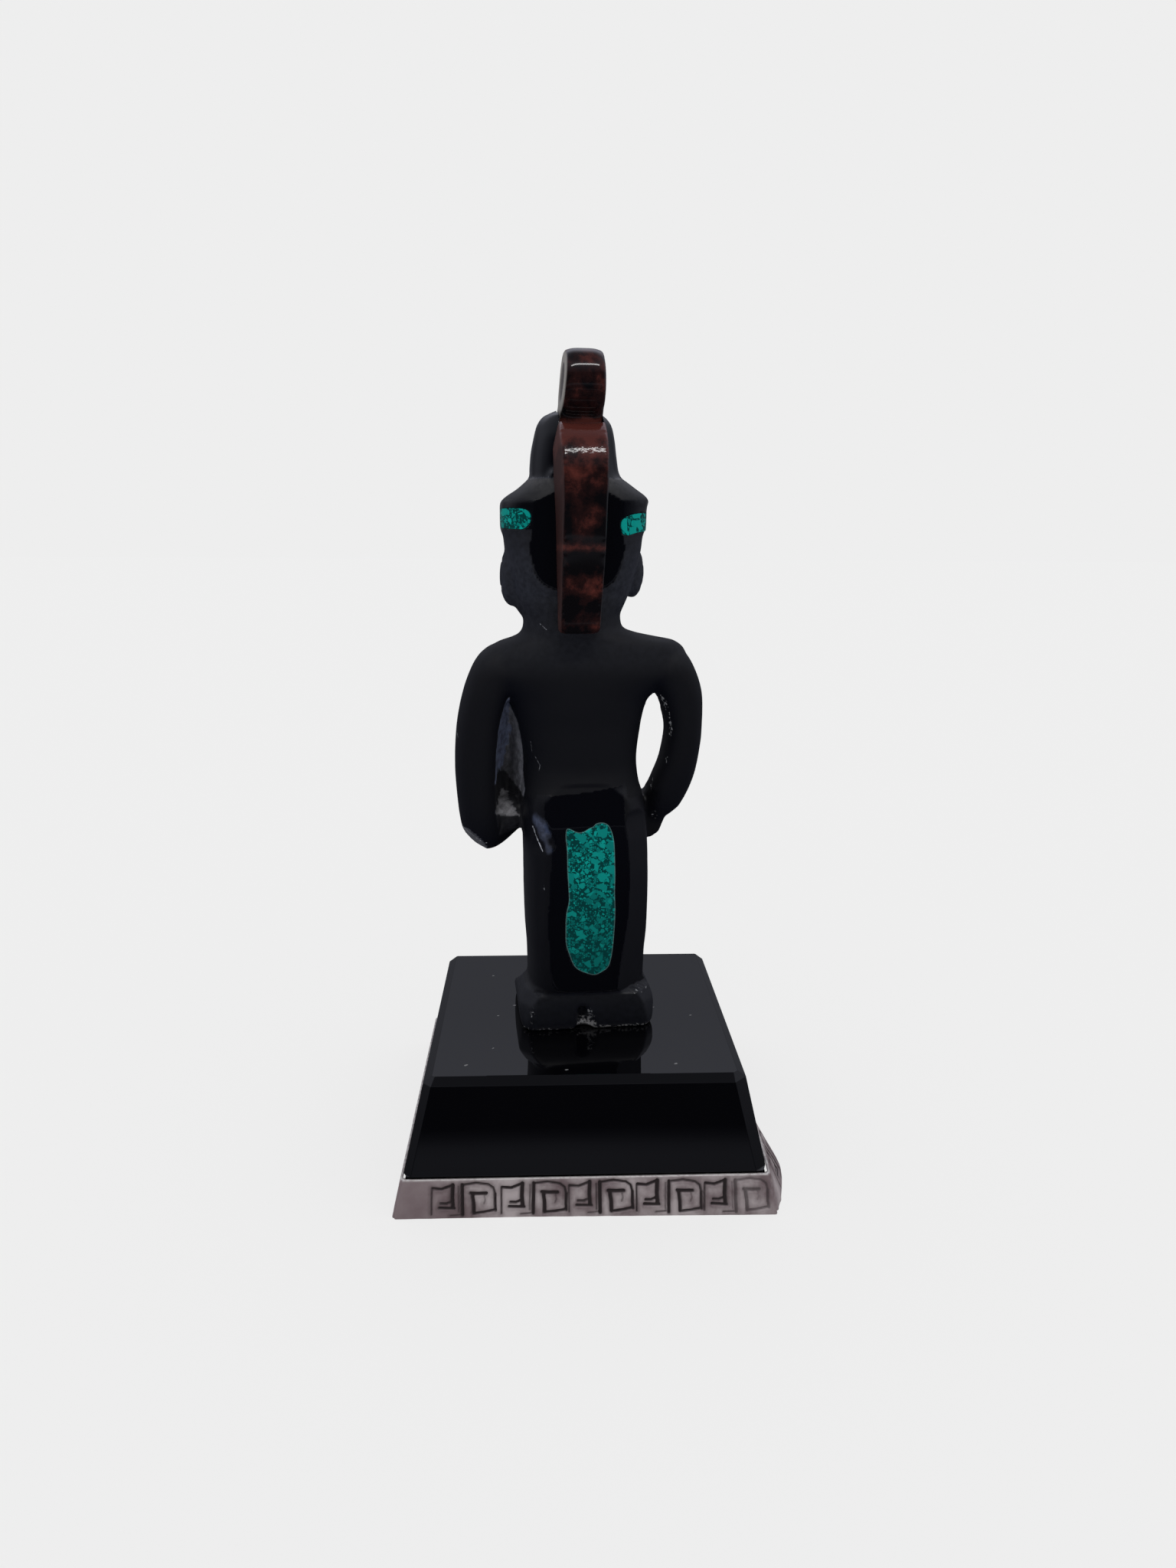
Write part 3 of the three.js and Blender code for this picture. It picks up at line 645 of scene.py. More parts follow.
# apron and belt in front, hands on the hips
apron = bmesh.ops.create_cube(carving, size=1, matrix=Matrix.Translation((-0.5, -10.2, 54.5))
                              @ Matrix.Diagonal((12, 3.6, 31, 1)))["verts"]
bevelled(carving, list({edge for vert in apron for edge in vert.link_edges}), 0.6)
stack(carving, [[78.6, -0.1, 13.7, 11.8, 8.6, 2.8], [79.4, 0, 13.8, 12.1, 8.6, 2.8],
                [82.4, 0.1, 13.4, 12, 8.4, 2.8], [83.2, 0.2, 13.2, 11.5, 8.2, 2.8]], 0.8, 72)
for side in (-1, 1):
    balls(carving, (side * 8.2 + 0.4, -12.6, 74.6, 5.2, 3.1, 4.4),
          *((side * 5.6 + 0.4, -13.9, 77.2 - 1.75 * finger, 3.1, 1.7, 0.95) for finger in range(4)),
          (side * 8.6 + 0.4, -14.2, 78.6, 2.4, 1.5, 1.1, side * 0.5))

# face: calm and general, on the usual thirds from brow to nose to chin
balls(carving, (FACE_X, -11.6, 123.8, 4.2, 3.6, 2.6), (FACE_X, -14, 130.6, 2, 3.4, 1.5))
prism(carving, lambda wide, tip: [
    (FACE_X + x * wide, y) for x, y in ((-1, -12.6), (-0.45, tip), (0.45, tip), (1, -12.6))],
      ((129.9, 2.3, -16.8), (131.4, 2, -17.3), (134.6, 1.4, -16), (138.4, 1.5, -15.2), (139.6, 2.4, -14.6)))
balls(carving, (FACE_X, -14.1, MOUTH_LEVEL + 0.55, 3.3, 1.35, 0.75),
      (FACE_X, -13.9, MOUTH_LEVEL - 0.75, 2.8, 1.5, 0.85))
for side in (-1, 1):
    balls(carving, (FACE_X + side * 1.7, -14.2, 130.3, 1.15, 1.9, 1.05),
          (FACE_X + side * 6.6, -11.2, 129.6, 4.4, 3.4, 3.6),
          (FACE_X + side * 5, -13, EYE_LEVEL, 2.6, 1.9, 1.15),
          (FACE_X + side * 5.2, -13, 138, 4.4, 2.3, 1.1, side * 0.1))
balls(carving, (FACE_X + 13.3, -1.9, 131.1, 2.6, 4.4, 6.5), (FACE_X - 13.6, -1.9, 132.3, 2.6, 4.4, 5.9),
      (FACE_X + 10.5, -0.8, 125.4, 2.2, 3.4, 4.2, 0.45))
# black resin run in between cap, brim and crest
for x, y, z, size in ((8.6, 5.6, 151.3, 1.3), (7.4, 7, 150.6, 1.4), (6.6, 7.6, 152.2, 1.6),
                      (-3.6, 7.2, 151.4, 1.2)):
    balls(carving, (x, y, z, size, size, size * 0.8))
point_outward(carving)


def modified(item, *spent):
    """What an object's modifier makes of it, as a shape to work on. It and the spent ones are cleared away."""
    result = bmesh.new()
    result.from_mesh(item.evaluated_get(bpy.context.evaluated_depsgraph_get()).to_mesh())
    for gone in (item, *spent):
        clear_away(gone)
    return result


def melted(bm, voxel):
    """Overlapping bodies become one closed skin of even, small faces."""
    melt = made(bm, "melt")
    remesh = melt.modifiers.new("remesh", "REMESH")
    remesh.mode = "VOXEL"
    remesh.voxel_size = voxel
    return modified(melt)


def smoothed(bm, verts, passes):
    for _ in range(passes):
        bmesh.ops.smooth_vert(bm, verts=verts, factor=0.5, use_axis_x=True, use_axis_y=True, use_axis_z=True)


def grind(bm, low, high, flat):
    """Grind flats: flat(vert place) gives how far a place stands past the flat, and the way out of it."""
    for vert in bm.verts:
        if low < vert.co.z < high:
            past, outward = flat(vert.co)
            if past > 0:
                vert.co -= outward * past


def flank(keys, side):
    """The flat beside the panel, up to where the arm begins."""
    outward = Vector((side * sin(FLANK_LEAN), cos(FLANK_LEAN), 0))

    def flat(place):
        past = outward.dot(place - Vector((eased(keys, place.z), PANEL_BACK, place.z)))
        return past if abs(place.x) < FLANK_REACH else 0, outward
    return flat


def gap_to(place, a, b):
    """How far a place is from the line between two points."""
    t = limited((place - a).dot(b - a) / (b - a).length_squared)
    return (place - a.lerp(b, t)).length


def groove(bm, finder, half, deep, *points):
    """A wheel-cut line through the points: verts beside it sink along their normals."""
    sunk = {}
    for a, b in zip(points, points[1:]):
        a, b = Vector(a), Vector(b)
        for place, index, _ in finder.find_range((a + b) / 2, (b - a).length / 2 + half):
            away = gap_to(place, a, b) / half
            if away < 1:
                sunk[index] = max(sunk.get(index, 0), (1 - away * away) ** 2)
    for index, share in sunk.items():
        bm.verts[index].co -= bm.verts[index].normal * deep * share


carving = melted(carving, VOXEL)
smoothed(carving, carving.verts, 5)
straight_back = Vector((0, 1, 0))
grind(carving, PANEL_FOOT, SKIRT_TOP, lambda place: (place.y - PANEL_BACK, straight_back))
grind(carving, PANEL_FOOT, 80.5, flank(PANEL_LEFT, 1))
grind(carving, PANEL_FOOT, 82.5, flank(PANEL_RIGHT, -1))
belt_lean = Vector((0, cos(BELT_LEAN), sin(BELT_LEAN)))
grind(carving, 76.8, 86, lambda place: (
    (place.y - PANEL_BACK) * cos(BELT_LEAN) + (place.z - 77.4) * sin(BELT_LEAN), belt_lean))
grind(carving, NAPE, 150.2, lambda place: (place.y - HEAD_FLAT, straight_back))


def rawness(place):
    """1 where the stone is left raw: in the left armpit and inside the right arm."""
    x, y, z = place
    if 12.5 < x < 22 and y < 4 and 73 < z < 105.5 and y > -9.5:
        ribs = eased(ARMPIT, z) + 1
        arm = 19.4 + 1.4 * sin((z - 74) / 31 * pi)
        if ribs < x < arm:
            return 1
    if -20.5 < x < -14 and -8 < y < 3 and (76 < z < 84 or 99 < z < 106):
        return 0.6
    return 0


# a hand-ground surface is never quite even, and what the wheel didn't reach is left raw
carving.normal_update()
for vert in carving.verts:
    place = vert.co
    swell = 0.07 * noise.noise(place * 0.11) + 0.02 * noise.noise(place * 0.45)
    flat_face = ((place.y > PANEL_BACK - 0.02 and 37 < place.z < SKIRT_TOP)
                 or (place.y > HEAD_FLAT - 0.02 and place.z > NAPE))
    raw = rawness(place)
    if raw:
        crumbly = 1 if place.x < 0 or place.z < 83 else 0.12
        swell += crumbly * raw * (0.22 * noise.noise(place * 0.8) + 0.12 * noise.noise(place * 1.7))
    if not flat_face and place.z > FOOT_LEVEL + 0.3:
        vert.co = place + vert.normal * swell

finder = kdtree.KDTree(len(carving.verts))
for vert in carving.verts:
    finder.insert(vert.co, vert.index)
finder.balance()
carving.verts.ensure_lookup_table()
# wheel-cut lines: half-width, depth, then the points
CUTS = [
    [2.9, 1.4, (0.7, 11.5, 28.3), (0.1, 11.9, 30.2)],
    [1.7, 2.4, (1.1, 11.8, 30.9), (1, 12, 33)],
    *([0.9, 0.8, (-1.2 + foot * 8 + toe * 2.9, -17, 28.5), (-1.2 + foot * 8 + toe * 2.8, -12.2, 32.2)]
      for foot in (-1, 1) for toe in (-1.5, -0.5, 0.5, 1.5)),
    [1.4, 1.8, (-1.2, -17, 28), (-1.2, -12, 32.4)],
    [0.6, 0.5, (FACE_X - 3.1, -15.2, MOUTH_LEVEL + 0.15), (FACE_X, -15.6, MOUTH_LEVEL - 0.05),
     (FACE_X + 3.1, -15.2, MOUTH_LEVEL + 0.15)],
]
for side in (-1, 1):
    x = FACE_X + side * 5
    CUTS += [[0.7, 0.6, (x - 3, -14.2, EYE_LEVEL), (x, -15.4, EYE_LEVEL + lid), (x + 3, -14.2, EYE_LEVEL)]
             for lid in (1.25, -1.25)]
    CUTS.append([0.8, 0.4, *((FACE_X + side * 15.9, -1.9 + 2 * cos(a), 131.6 + 3.2 * sin(a))
                             for a in (index / 12 * tau for index in range(13)))])
CUTS += [[1.5, 0.7, (11.4, 12.2, 78.6), (9.9, 12.2, 76.2), (8.6, 12.2, 73.4)],
         *([0.7, 0.4, (x, -12, 40.5), (x, -12, 69.5)] for x in (-6.6, 5.6)),
         *([1, 0.3, *((1 + 13 * cos(a), -11.5, 116 + 7 * sin(a))
                      for a in (radians(200 + 14 * (step + k)) for k in (0, 1)))] for step in range(11))]
for cut in CUTS:
    groove(carving, finder, *cut)


def cut_away(bm, cutters):
    """The body with the cutters' shapes taken out of it."""
    for shape in (bm, cutters):
        point_outward(shape)
    body, tool = made(bm, "body"), made(cutters, "cutters")
    cut = body.modifiers.new("cut", "BOOLEAN")
    cut.object = tool
    cut.solver = "EXACT"
    return modified(body, tool)


# the pocket in the skirt: its outline as x and height, worked free-hand, so no two corners match
SKIRT_WINDOW = [
    (4.8, 76.8), (5, 74.8), (4.7, 71.8), (4.6, 67), (4.3, 62), (4.3, 59.8), (4.9, 56.7), (5, 52.9),
    (4.9, 49.8), (4.2, 47.4), (3.3, 45), (2.2, 43.6), (0.2, 42.6), (-1.7, 42.1), (-3.6, 42.9), (-4.85, 44),
    (-5.5, 46.2), (-5.9, 49.3), (-6.2, 53.9), (-6.3, 57.8), (-6.15, 61.6), (-6.2, 65.4), (-6.1, 69.2),
    (-5.9, 73.3), (-5.3, 76), (-4.5, 77.5), (-3.25, 78.1), (-1.8, 77.9), (-1, 77.2), (-0.1, 76.8),
    (0.9, 76.2), (2, 76), (3, 76.3), (3.9, 76.8)]
POCKET_DEEP = 1.5
POCKET_PLAY = 0.05
# how many steps the outlines take from point to point
SKIRT_STEPS, BRIM_STEPS = 5, 4
# the two windows in the brim: the turn round the brim (degrees from the figure's left) and the height
BRIM_WINDOW_LEFT = [(54.5, 143.7), (52.5, 144.9), (45, 145.45), (20, 145.5), (2, 145.4), (-4, 143.4),
                    (2, 141.7), (20, 141.5), (40, 141.3), (48, 141.3), (53, 142.2)]
BRIM_WINDOW_RIGHT = [(122.5, 142.1), (124.5, 143.5), (135, 144.5), (160, 144.9), (178, 144.9), (184, 143),
                     (178, 141.3), (160, 141), (141, 140.7), (130, 140.1), (125, 140.5)]


def rounded(points, steps):
    """A closed free-hand outline: a smooth curve through the points."""
    count = len(points)
    smooth = []
    for index in range(count):
        p0, p1, p2, p3 = (Vector(points[(index + k) % count]) for k in (-1, 0, 1, 2))
        for step in range(steps):
            t = step / steps
            smooth.append(0.5 * (2 * p1 + (p2 - p0) * t + (2 * p0 - 5 * p1 + 4 * p2 - p3) * t ** 2
                                 + (3 * p1 - p0 - 3 * p2 + p3) * t ** 3))
    return smooth


def shrunk(outline, inset):
    """The outline moved inwards by an inset, square to its own edge."""
    count = len(outline)
    turned = sum(a.x * b.y - a.y * b.x for a, b in zip(outline, outline[1:] + outline[:1]))
    sign = 1 if turned > 0 else -1
    moved = []
    for index, point in enumerate(outline):
        along = (outline[(index + 1) % count] - outline[index - 1]).normalized()
        moved.append(point + Vector((-along.y, along.x)) * inset * sign)
    return moved


def skirt_block(bm, levels):
    """A block with the skirt window's outline: levels are (depth behind the axis, inset)."""
    outline = rounded(SKIRT_WINDOW, SKIRT_STEPS)
    skin(bm, [[Vector((point.x, y, point.y)) for point in shrunk(outline, inset)] for y, inset in levels])


def brim_block(bm, window, levels):
    """A block that follows the brim: levels are (how far out of its face, share of the window)."""
    outline = rounded(window, BRIM_STEPS)
    middle = sum(outline, Vector((0, 0))) / len(outline)
    rings = []
    for out, share in levels:
        ring = []
        for point in outline:
            turn, height = middle + (point - middle) * share
            place = squared_point(HEAD, height, radians(turn), out)
            place.y = min(place.y, HEAD_FLAT + out)
            ring.append(place)
        rings.append(ring)
    skin(bm, rings)


# how much red there is on the way up, with painted light on the slab's upturned shoulder below the scroll:
# height, share
CREST_RED_AND_TOP_LIGHT = [[119, 0.14], [123, 0.3], [125.5, 0.04], [129, 0.4], [131, 0.2], [133, 0.05], [136, 0.1],
                [137.6, 0.75], [139, 0.22], [145, 0.22], [150, 0.34], [154, 0.4], [157, 0.7], [160, 1],
                [163, 1.25], [165, 0.3], [170, 0.4], [178, 0.48]]
# the crest's side outline as y and height: up from the nape, over the cap, then round the scroll
SCROLL_Y, SCROLL_HEIGHT, SCROLL_RADIUS, SCROLL_BORE, SCROLL_CROWN = 0.6, 171.5, 6.85, 3.7, 0.7
CREST_WIDE = 9
CREST_FOOT = 119.6
# how far the left side splays out towards the head: height, distance
CREST_SPLAYS = [[119, 0.5], [132, 0.8], [142, 1.2], [150, 1.9], [157, 1.9], [162, 0.4], [164, 0]]
# height, middle, width
CREST_LEAN = [[119, 1.95, 8.5], [140, 1.55, 9.2], [158, 1.15, 9.5], [162, 1.1, 9.7], [167, 0.55, 9.2],
              [178, 0.2, 8.3]]


def crest_outline(play):
    seat = [(4.6 - play, 160 - play), (7.4 - play, 154.5 - play), (HEAD_FLAT + 0.05 - play, 149.4),
            (HEAD_FLAT + 0.05 - play, CREST_FOOT - play)]
    nape = [(12.4, CREST_FOOT - play), (13.4, 120), (13.9 + play, 121.2), (15, 127.5), (16, 134), (16.6, 140),
            (16.8, 146), (16.7, 150), (16.3, 153.4), (15.6, 155.6), (14.6, 157.6), (13.2, 159.5), (11.4, 161)]
    first_turn, notch = -66, [(9.8, 162), (8.4, 162.6), (7.2, 162.7), (6, 162.3), (4.6, 162), (3.2, 162.6)]
    if play:
        # the cap is cleared away under the scroll as well
        first_turn, notch = 0, [(11.4, SCROLL_HEIGHT)]
    turns = [radians(first_turn + (223 - first_turn) * k / 48) for k in range(49)]
    scroll = [(SCROLL_Y + SCROLL_RADIUS * cos(a), SCROLL_HEIGHT + SCROLL_RADIUS * sin(a)) for a in turns]
    return [Vector(point) for point in [*nape, *notch, *scroll, (-5.2, 162.5 - play), *seat]]


def crest_slab(bm, play=0):
    skin(bm, [[Vector((side * CREST_WIDE / 2, point.x, point.y)) for point in crest_outline(play)]
              for side in (-1, 1)])


def leaned(bm, play=0):
    """The straight slab takes its lean, its narrower ends and, on the left, its splay towards the head."""
    for vert in bm.verts:
        middle, width = eased(CREST_LEAN, vert.co.z), eased(CREST_LEAN, vert.co.z, 2)
        across = vert.co.x / CREST_WIDE
        inner = limited((16.4 - vert.co.y) / 7) * eased(CREST_SPLAYS, vert.co.z)
        vert.co.x = middle + across * (width + 2 * play) + inner * max(0, across + 0.2)


cutters = bmesh.new()
crest_slab(cutters, POCKET_PLAY)
leaned(cutters, POCKET_PLAY)
skirt_block(cutters, [(y, -POCKET_PLAY) for y in (PANEL_BACK - POCKET_DEEP - POCKET_PLAY, PANEL_BACK + 1)])
for window in (BRIM_WINDOW_LEFT, BRIM_WINDOW_RIGHT):
    brim_block(cutters, window, [(-1.6, 0.2), (-1.6, 1.02), (1, 1.02), (1, 0.2)])
carving = cut_away(carving, cutters)

polish_layer, raw_layer, dust_layer, sheen_and_tone_layer, blue_layer, chip_and_glint_layer = new_layers(
    carving, "polish", "raw", "dust", "light", "blue", "chip_and_glint")
carving.normal_update()


def on_elbow(place, below):
    """Whether a place is on the left elbow's sawn face."""
    return place.x > 19 and place.z < below and (place - ELBOW_POINT).dot(ELBOW_FACE) > -0.2


def polish_at(place):
    """How far a face was polished: 1 is like glass, 0 is as the wheel left it."""
    x, y, z = place
    if z < FEET_TOP:
        return 0.45
    if y > 8.5 and -9 < x < 12.5 and 76 < z < 84 + 0.0057 * (10 - x) ** 2:
        return 1 if -8.2 < x < 9.5 else 0.5
    if z < SKIRT_TOP and abs(x) < 18:
        return 1 if y > PANEL_BACK - 0.05 else 0.35
    if on_elbow(place, 79):
        return 1
    if z < NAPE + 0.5:
        return 0.05
    if y > HEAD_FLAT - 0.05 and z < 150:
        return 1
    if z < BRIM_FOOT:
        return 0.6 if y < -5 else 0.2
    if z < BRIM_TOP:
        return 0.8
    if z < CAP_FOOT:
        return 0.3
    return 0.95


# where an edge crumbled or the wheel slipped, partly painted glints where the rough stone catches the light:
# half-width, how strongly, then the points
CHIPS_AND_GLINTS = [
    [0.4, 0.5, (27.2, 1.6, 75.2), (24.8, 2.8, 73.2), (22.4, 3.2, 71.4)],
    [0.4, 0.5, (21.9, 3, 77.4), (21.2, 2.6, 73)],
    [0.9, 0.7, (-18.2, 3.4, 104.6), (-18.5, 4.2, 102.8)],
    [0.4, 0.75, (-18.8, 3.8, 105), (-19.8, 4.4, 101), (-20, 4.4, 96.4)],
    [0.3, 0.6, (-19.5, 4, 90.6), (-19.4, 4, 89.4)],
    [0.5, 0.9, (-19.8, 3.4, 86.9), (-19.7, 3.2, 85.9)],
    [0.4, 0.5, (-16.2, 1, 85.2), (-16.3, 0.6, 82.2)],
    [0.6, 0.95, (-17.1, 1.6, 80.6), (-17.2, 1.6, 79.8)],
    [0.4, 0.7, (-17.1, 1.2, 78.6), (-17, 1, 76.4)],
    [0.3, 0.35, (12.6, 11.6, 34), (12.8, 11.4, 30.6)],
    [0.3, 0.35, (-11.4, 11.4, 37), (-14.4, 8.6, 36.8)],
    [0.4, 0.6, (9.6, 8.6, 120.8), (7.2, 9, 121.6)],
    [0.5, 0.7, (-0.9, 11.4, 30.4), (-0.7, 11.4, 33)],
]
# the same for the painted bluish reflection in the broad, smooth gouges
GOUGE_REFLECTIONS = [
    [1.4, 0.6, (12.4, 10.6, 78.8), (10.7, 11.6, 77.4), (10, 12, 75.4)],
    [0.7, 0.5, (10, 12, 75.4), (9, 12.2, 72.2)],
]
# the seam between the two scars in the left armpit: height, x
SCAR_SEAM = [[84.5, 20.2], [88.5, 17.9], [92.5, 16.8], [96.5, 15.9], [101, 16.3]]


def nearest_mark(marks, place):
    """How strongly the marks show at a place."""
    strongest = 0
    for half, most, *points in marks:
        for a, b in zip(points, points[1:]):
            away = gap_to(place, Vector(a), Vector(b)) / (half + 0.5)
            strongest = max(strongest, most * (1 - away ** 3) if away < 1 else 0)
    return strongest


# how light the ground stone is painted from the shoulder blades up to the brim, its own tone with painted
# sheen: height, share
GROUND_TONE_AND_SHEEN = [[104, 0], [109, 0], [114, 0.036], [118, 0.046], [124, 0.055], [128, 0.11], [134, 0.1],
               [141, 0.05]]

# the noise that roughens the scars is the same each time
noise.seed_set(8)


def sheen_and_tone_at(place, normal):
    """How light and how blue the stone is painted: painted reflections and sheen on two smooth scars in the
    left armpit above a crumbled shelf with painted highlights, painted shade on its faces turned to the front,
    a painted highlight on the elbow, the ground stone's own tone with painted sheen up to the brim, painted
    sheen on the brim's slope and painted reflection in the gouges.
    """
    x, y, z = place + noise.noise_vector(place * 0.6) * 0.6 + noise.noise_vector(place * 1.9) * 0.3
    if rawness(place) and x > 0:
        # painted shade where the armpit's raw faces turn to the front
        if normal.y < -0.35:
            return 0.02, 0.3
        rib = eased(ARMPIT, z)
        streak = 0.9 + 0.9 * noise.noise(Vector((place.x, place.y, place.z * 0.3)) * 0.9)
        # painted bluish reflection, streaked, on the upper scar
        if z > 84.5 and x > eased(SCAR_SEAM, z):
            return min(1, 1.25 * streak), 0.85
        # painted grey sheen on the lower scar, lighter towards the ribs
        if z > 82.5 and x < min(eased(SCAR_SEAM, z), 13.9 + max(0, z - 82.5) * 0.9):
            return (0.3 + 0.62 * limited((rib + 3 - x) / 1.8)) * (0.5 + 0.6 * streak), 0.3
        # painted streaky highlights on the crumbled shelf
        if 77.6 + max(0, x - 17) * 0.3 < z < 82.6 and abs(x - 17.9) < (82.9 - z) * 0.62:
            return min(1, 0.95 * streak), 0.1
        return 0.05 * streak, 0.2
    x, y, z = place
    # painted highlight along the elbow's sawn edge
    if y > -2 and on_elbow(place, 78):
        return 0.32, 0.3
    if y > HEAD_FLAT - 0.05 and z > NAPE:
        return 0, 0
    # the ground stone's tone with painted sheen, much less in front
    if 104 < z < BRIM_FOOT:
        return eased(GROUND_TONE_AND_SHEEN, z) * (0.15 if y < -5 else 1), 0.8
    # painted sheen on the brim's upper slope, lighter towards the top
    if 147.4 < z < 151.9 + 0.5 * noise.noise(place * 0.6):
        return 0.04 + 0.24 * ((z - 147.4) / 4.5) ** 1.5, 0
    if z < FEET_TOP:
        return 0.04, 0.8
    # painted bluish reflection in the gouges
    return nearest_mark(GOUGE_REFLECTIONS, place), 1


for vert in carving.verts:
    vert[polish_layer] = polish_at(vert.co)
    vert[raw_layer] = rawness(vert.co)
    vert[sheen_and_tone_layer], vert[blue_layer] = sheen_and_tone_at(vert.co, vert.normal)
    vert[chip_and_glint_layer] = nearest_mark(CHIPS_AND_GLINTS, vert.co)
    x, y, z = vert.co
    low = max(0, 1 - abs(z - FOOT_LEVEL - 0.3) / 0.9) * (0.8 if x < 1 else 0.5) if z < 31 else 0
    notch = max(0, 1.3 - hypot(x / 2.6, (z - 29.2) / 1.9)) if z < 34 and y > 6 else 0
    vert[dust_layer] = min(1, max(low, notch))

SATIN_BLACK = (0.0014, 0.0018, 0.0053, 1)
GLASS_BLACK = (0.0016, 0.0018, 0.0034, 1)
# the colours that painted reflections, sheen and highlights, and the raw stone's own tone, lighten towards
RAW_AND_SHEEN_GREY = (0.24, 0.235, 0.243, 1)
RAW_AND_REFLECTED_BLUE = (0.087, 0.112, 0.205, 1)
GLUE_PALE = (0.24, 0.24, 0.25, 1)
# pale of chipped edges, also used for painted glints
CHIP_AND_GLINT_PALE = (0.26, 0.27, 0.29, 1)
# pale of scratches, also used for painted glints
SCRATCH_AND_GLINT_PALE = (0.4, 0.42, 0.48, 1)
# lines scratched into the back by the wheel, and painted glints on the elbow's facet edge and in the gouge: how
# wide and how light, then both ends as x and height
SCRATCHES_AND_GLINTS = [
    [0.05, 0.4, (28.2, 98.2), (27.6, 96.4)],
    [0.05, 0.3, (11.6, 95.4), (11.3, 93)],
    [0.06, 0.3, (10.8, 92.4), (9.5, 90.2)],
    [0.09, 0.3, (9.5, 90.4), (9.8, 89)],
    [0.07, 0.45, (-15.6, 85.9), (-16.2, 82.6)],
    [0.07, 0.45, (27.9, 76.2), (24, 72.6)],
    [0.1, 0.4, (9.4, 121.4), (8, 120.2)],
    [0.16, 0.7, (11.2, 76.9), (10.3, 74.4)],
    [0.13, 0.95, (10.3, 74.4), (8.9, 71.2)],
    [0.2, 0.45, (8.9, 63.6), (8.7, 62.8)],
]
# the figure's colour carries painted reflections, sheen, highlights and glints besides the stone's own tones
carved_glass, tree, shader = new_material("carved_obsidian", IOR=1.5)
polished, raw, dust, light, blue, chip_and_glint = (
    attribute(tree, name) for name in ("polish", "raw", "dust", "light", "blue", "chip_and_glint"))
grain, crumb, cloud = cloudy(tree, 900, 4, 0.6), cloudy(tree, 1700, 2), cloudy(tree, 60, 3)
colour = blended(polished, SATIN_BLACK, GLASS_BLACK)
# painted reflections, sheen and highlights, with the raw stone's tone, lighten the colour here
sheen_and_tone = maths("MULTIPLY", light, ranged(grain, 0.35, 0.65, 0.55, 1.2))
colour = blended(sheen_and_tone, colour, blended(blue, RAW_AND_SHEEN_GREY, RAW_AND_REFLECTED_BLUE))
# chipped edges with painted glints, and real dust and glue
for mark, low, high, full, pale in ((chip_and_glint, 0.7, 0.76, 0.25, CHIP_AND_GLINT_PALE), (dust, 0.66, 0.74, 0.2, GLUE_PALE)):
    crumbled = ranged(maths("MULTIPLY_ADD", mark, 0.3, crumb), low, high)
    colour = blended(maths("MULTIPLY", crumbled, ranged(mark, 0.02, full)), colour, pale)
sides = put(tree, "SeparateXYZ", Vector=object_place(tree)).outputs
flattened = put(tree, "CombineXYZ", X=sides["X"], Z=sides["Z"]).outputs["Vector"]
behind = maths("MULTIPLY", maths("GREATER_THAN", sides["Y"], 0), ranged(crumb, 0.36, 0.52, 0.25, 1))
# wheel scratches and painted glints, on the back only
for wide, pale, (x, z), (end_x, end_z) in SCRATCHES_AND_GLINTS:
    line = scratched(flattened, wide, pale, (x, 0, z), (end_x, 0, end_z))
    colour = blended(maths("MULTIPLY", line, behind), colour, SCRATCH_AND_GLINT_PALE)
specks = masked(tree, dust_flecks, Vector=object_place(tree), Scale=260, Amount=0.004, Size=0.05)
colour = blended(specks, colour, DUST)
glassy = maths("MULTIPLY", ranged(polished, 0, 1, 1, 0), ranged(cloud, 0.35, 0.65, 0.64, 0.74))
rough = maths("ADD", glassy, ranged(grain, 0.3, 0.7, 0.04, 0.08))
rough = maths("MAXIMUM", rough, maths("MULTIPLY", raw, 0.55))
crumbs = maths("MULTIPLY", raw, ranged(light, 0.86, 0.95))
bump = put(tree, "Bump", Strength=0.6, Distance=0.00012, Height=maths("MULTIPLY", grain, crumbs))
fill(shader, {"Base Color": colour, "Roughness": rough, "Normal": bump.outputs["Normal"]})
finish_piece(carving, "carved_figure", carved_glass, "figure", turn=FIGURE_TURN)

# Crest
# A slab of mahogany obsidian, black glass clouded with red-brown, sawn and ground in one curve from the
# nape over the cap to a scroll with a drilled eye. It is polished, and glued to a flat behind the head.
slab = bmesh.new()
crest_slab(slab)
foot_corners = [edge for edge in slab.edges if all(vert.co.z < CREST_FOOT + 0.6 for vert in edge.verts)
                and abs(edge.verts[0].co.x - edge.verts[1].co.x) < 0.1]
bevelled(slab, foot_corners, 1.2, 4)
drill = bmesh.new()
bmesh.ops.create_cone(drill, cap_ends=True, segments=64, radius1=SCROLL_BORE, radius2=SCROLL_BORE, depth=14,
                      matrix=(Matrix.Translation((0, SCROLL_Y, SCROLL_HEIGHT))
                              @ Matrix.Rotation(pi / 2, 4, "Y")))
slab = melted(cut_away(slab, drill), CREST_VOXEL)
for vert in slab.verts:
    # the rim is crowned across
    across = vert.co.x / (CREST_WIDE / 2)
    if vert.co.z > 162:
        out = Vector((0, vert.co.y - SCROLL_Y, vert.co.z - SCROLL_HEIGHT))
        outer = max(0, (out.length - SCROLL_BORE) / (SCROLL_RADIUS - SCROLL_BORE))
        vert.co -= out.normalized() * (SCROLL_CROWN * abs(across) ** 5 * min(1, outer))
    elif vert.co.y > HEAD_FLAT + 2:
        vert.co.y -= 0.25 * across ** 4
rim = [vert for vert in slab.verts if abs(vert.co.x) < CREST_WIDE / 2 - 0.6]
smoothed(slab, slab.verts, 7)
smoothed(slab, rim, 20)
leaned(slab)
bore_layer, red_and_top_light_layer, chatter_layer, sawn_lit_side_layer, lit_scroll_side_layer = new_layers(
    slab, "bore", "red", "chatter", "side", "scroll")
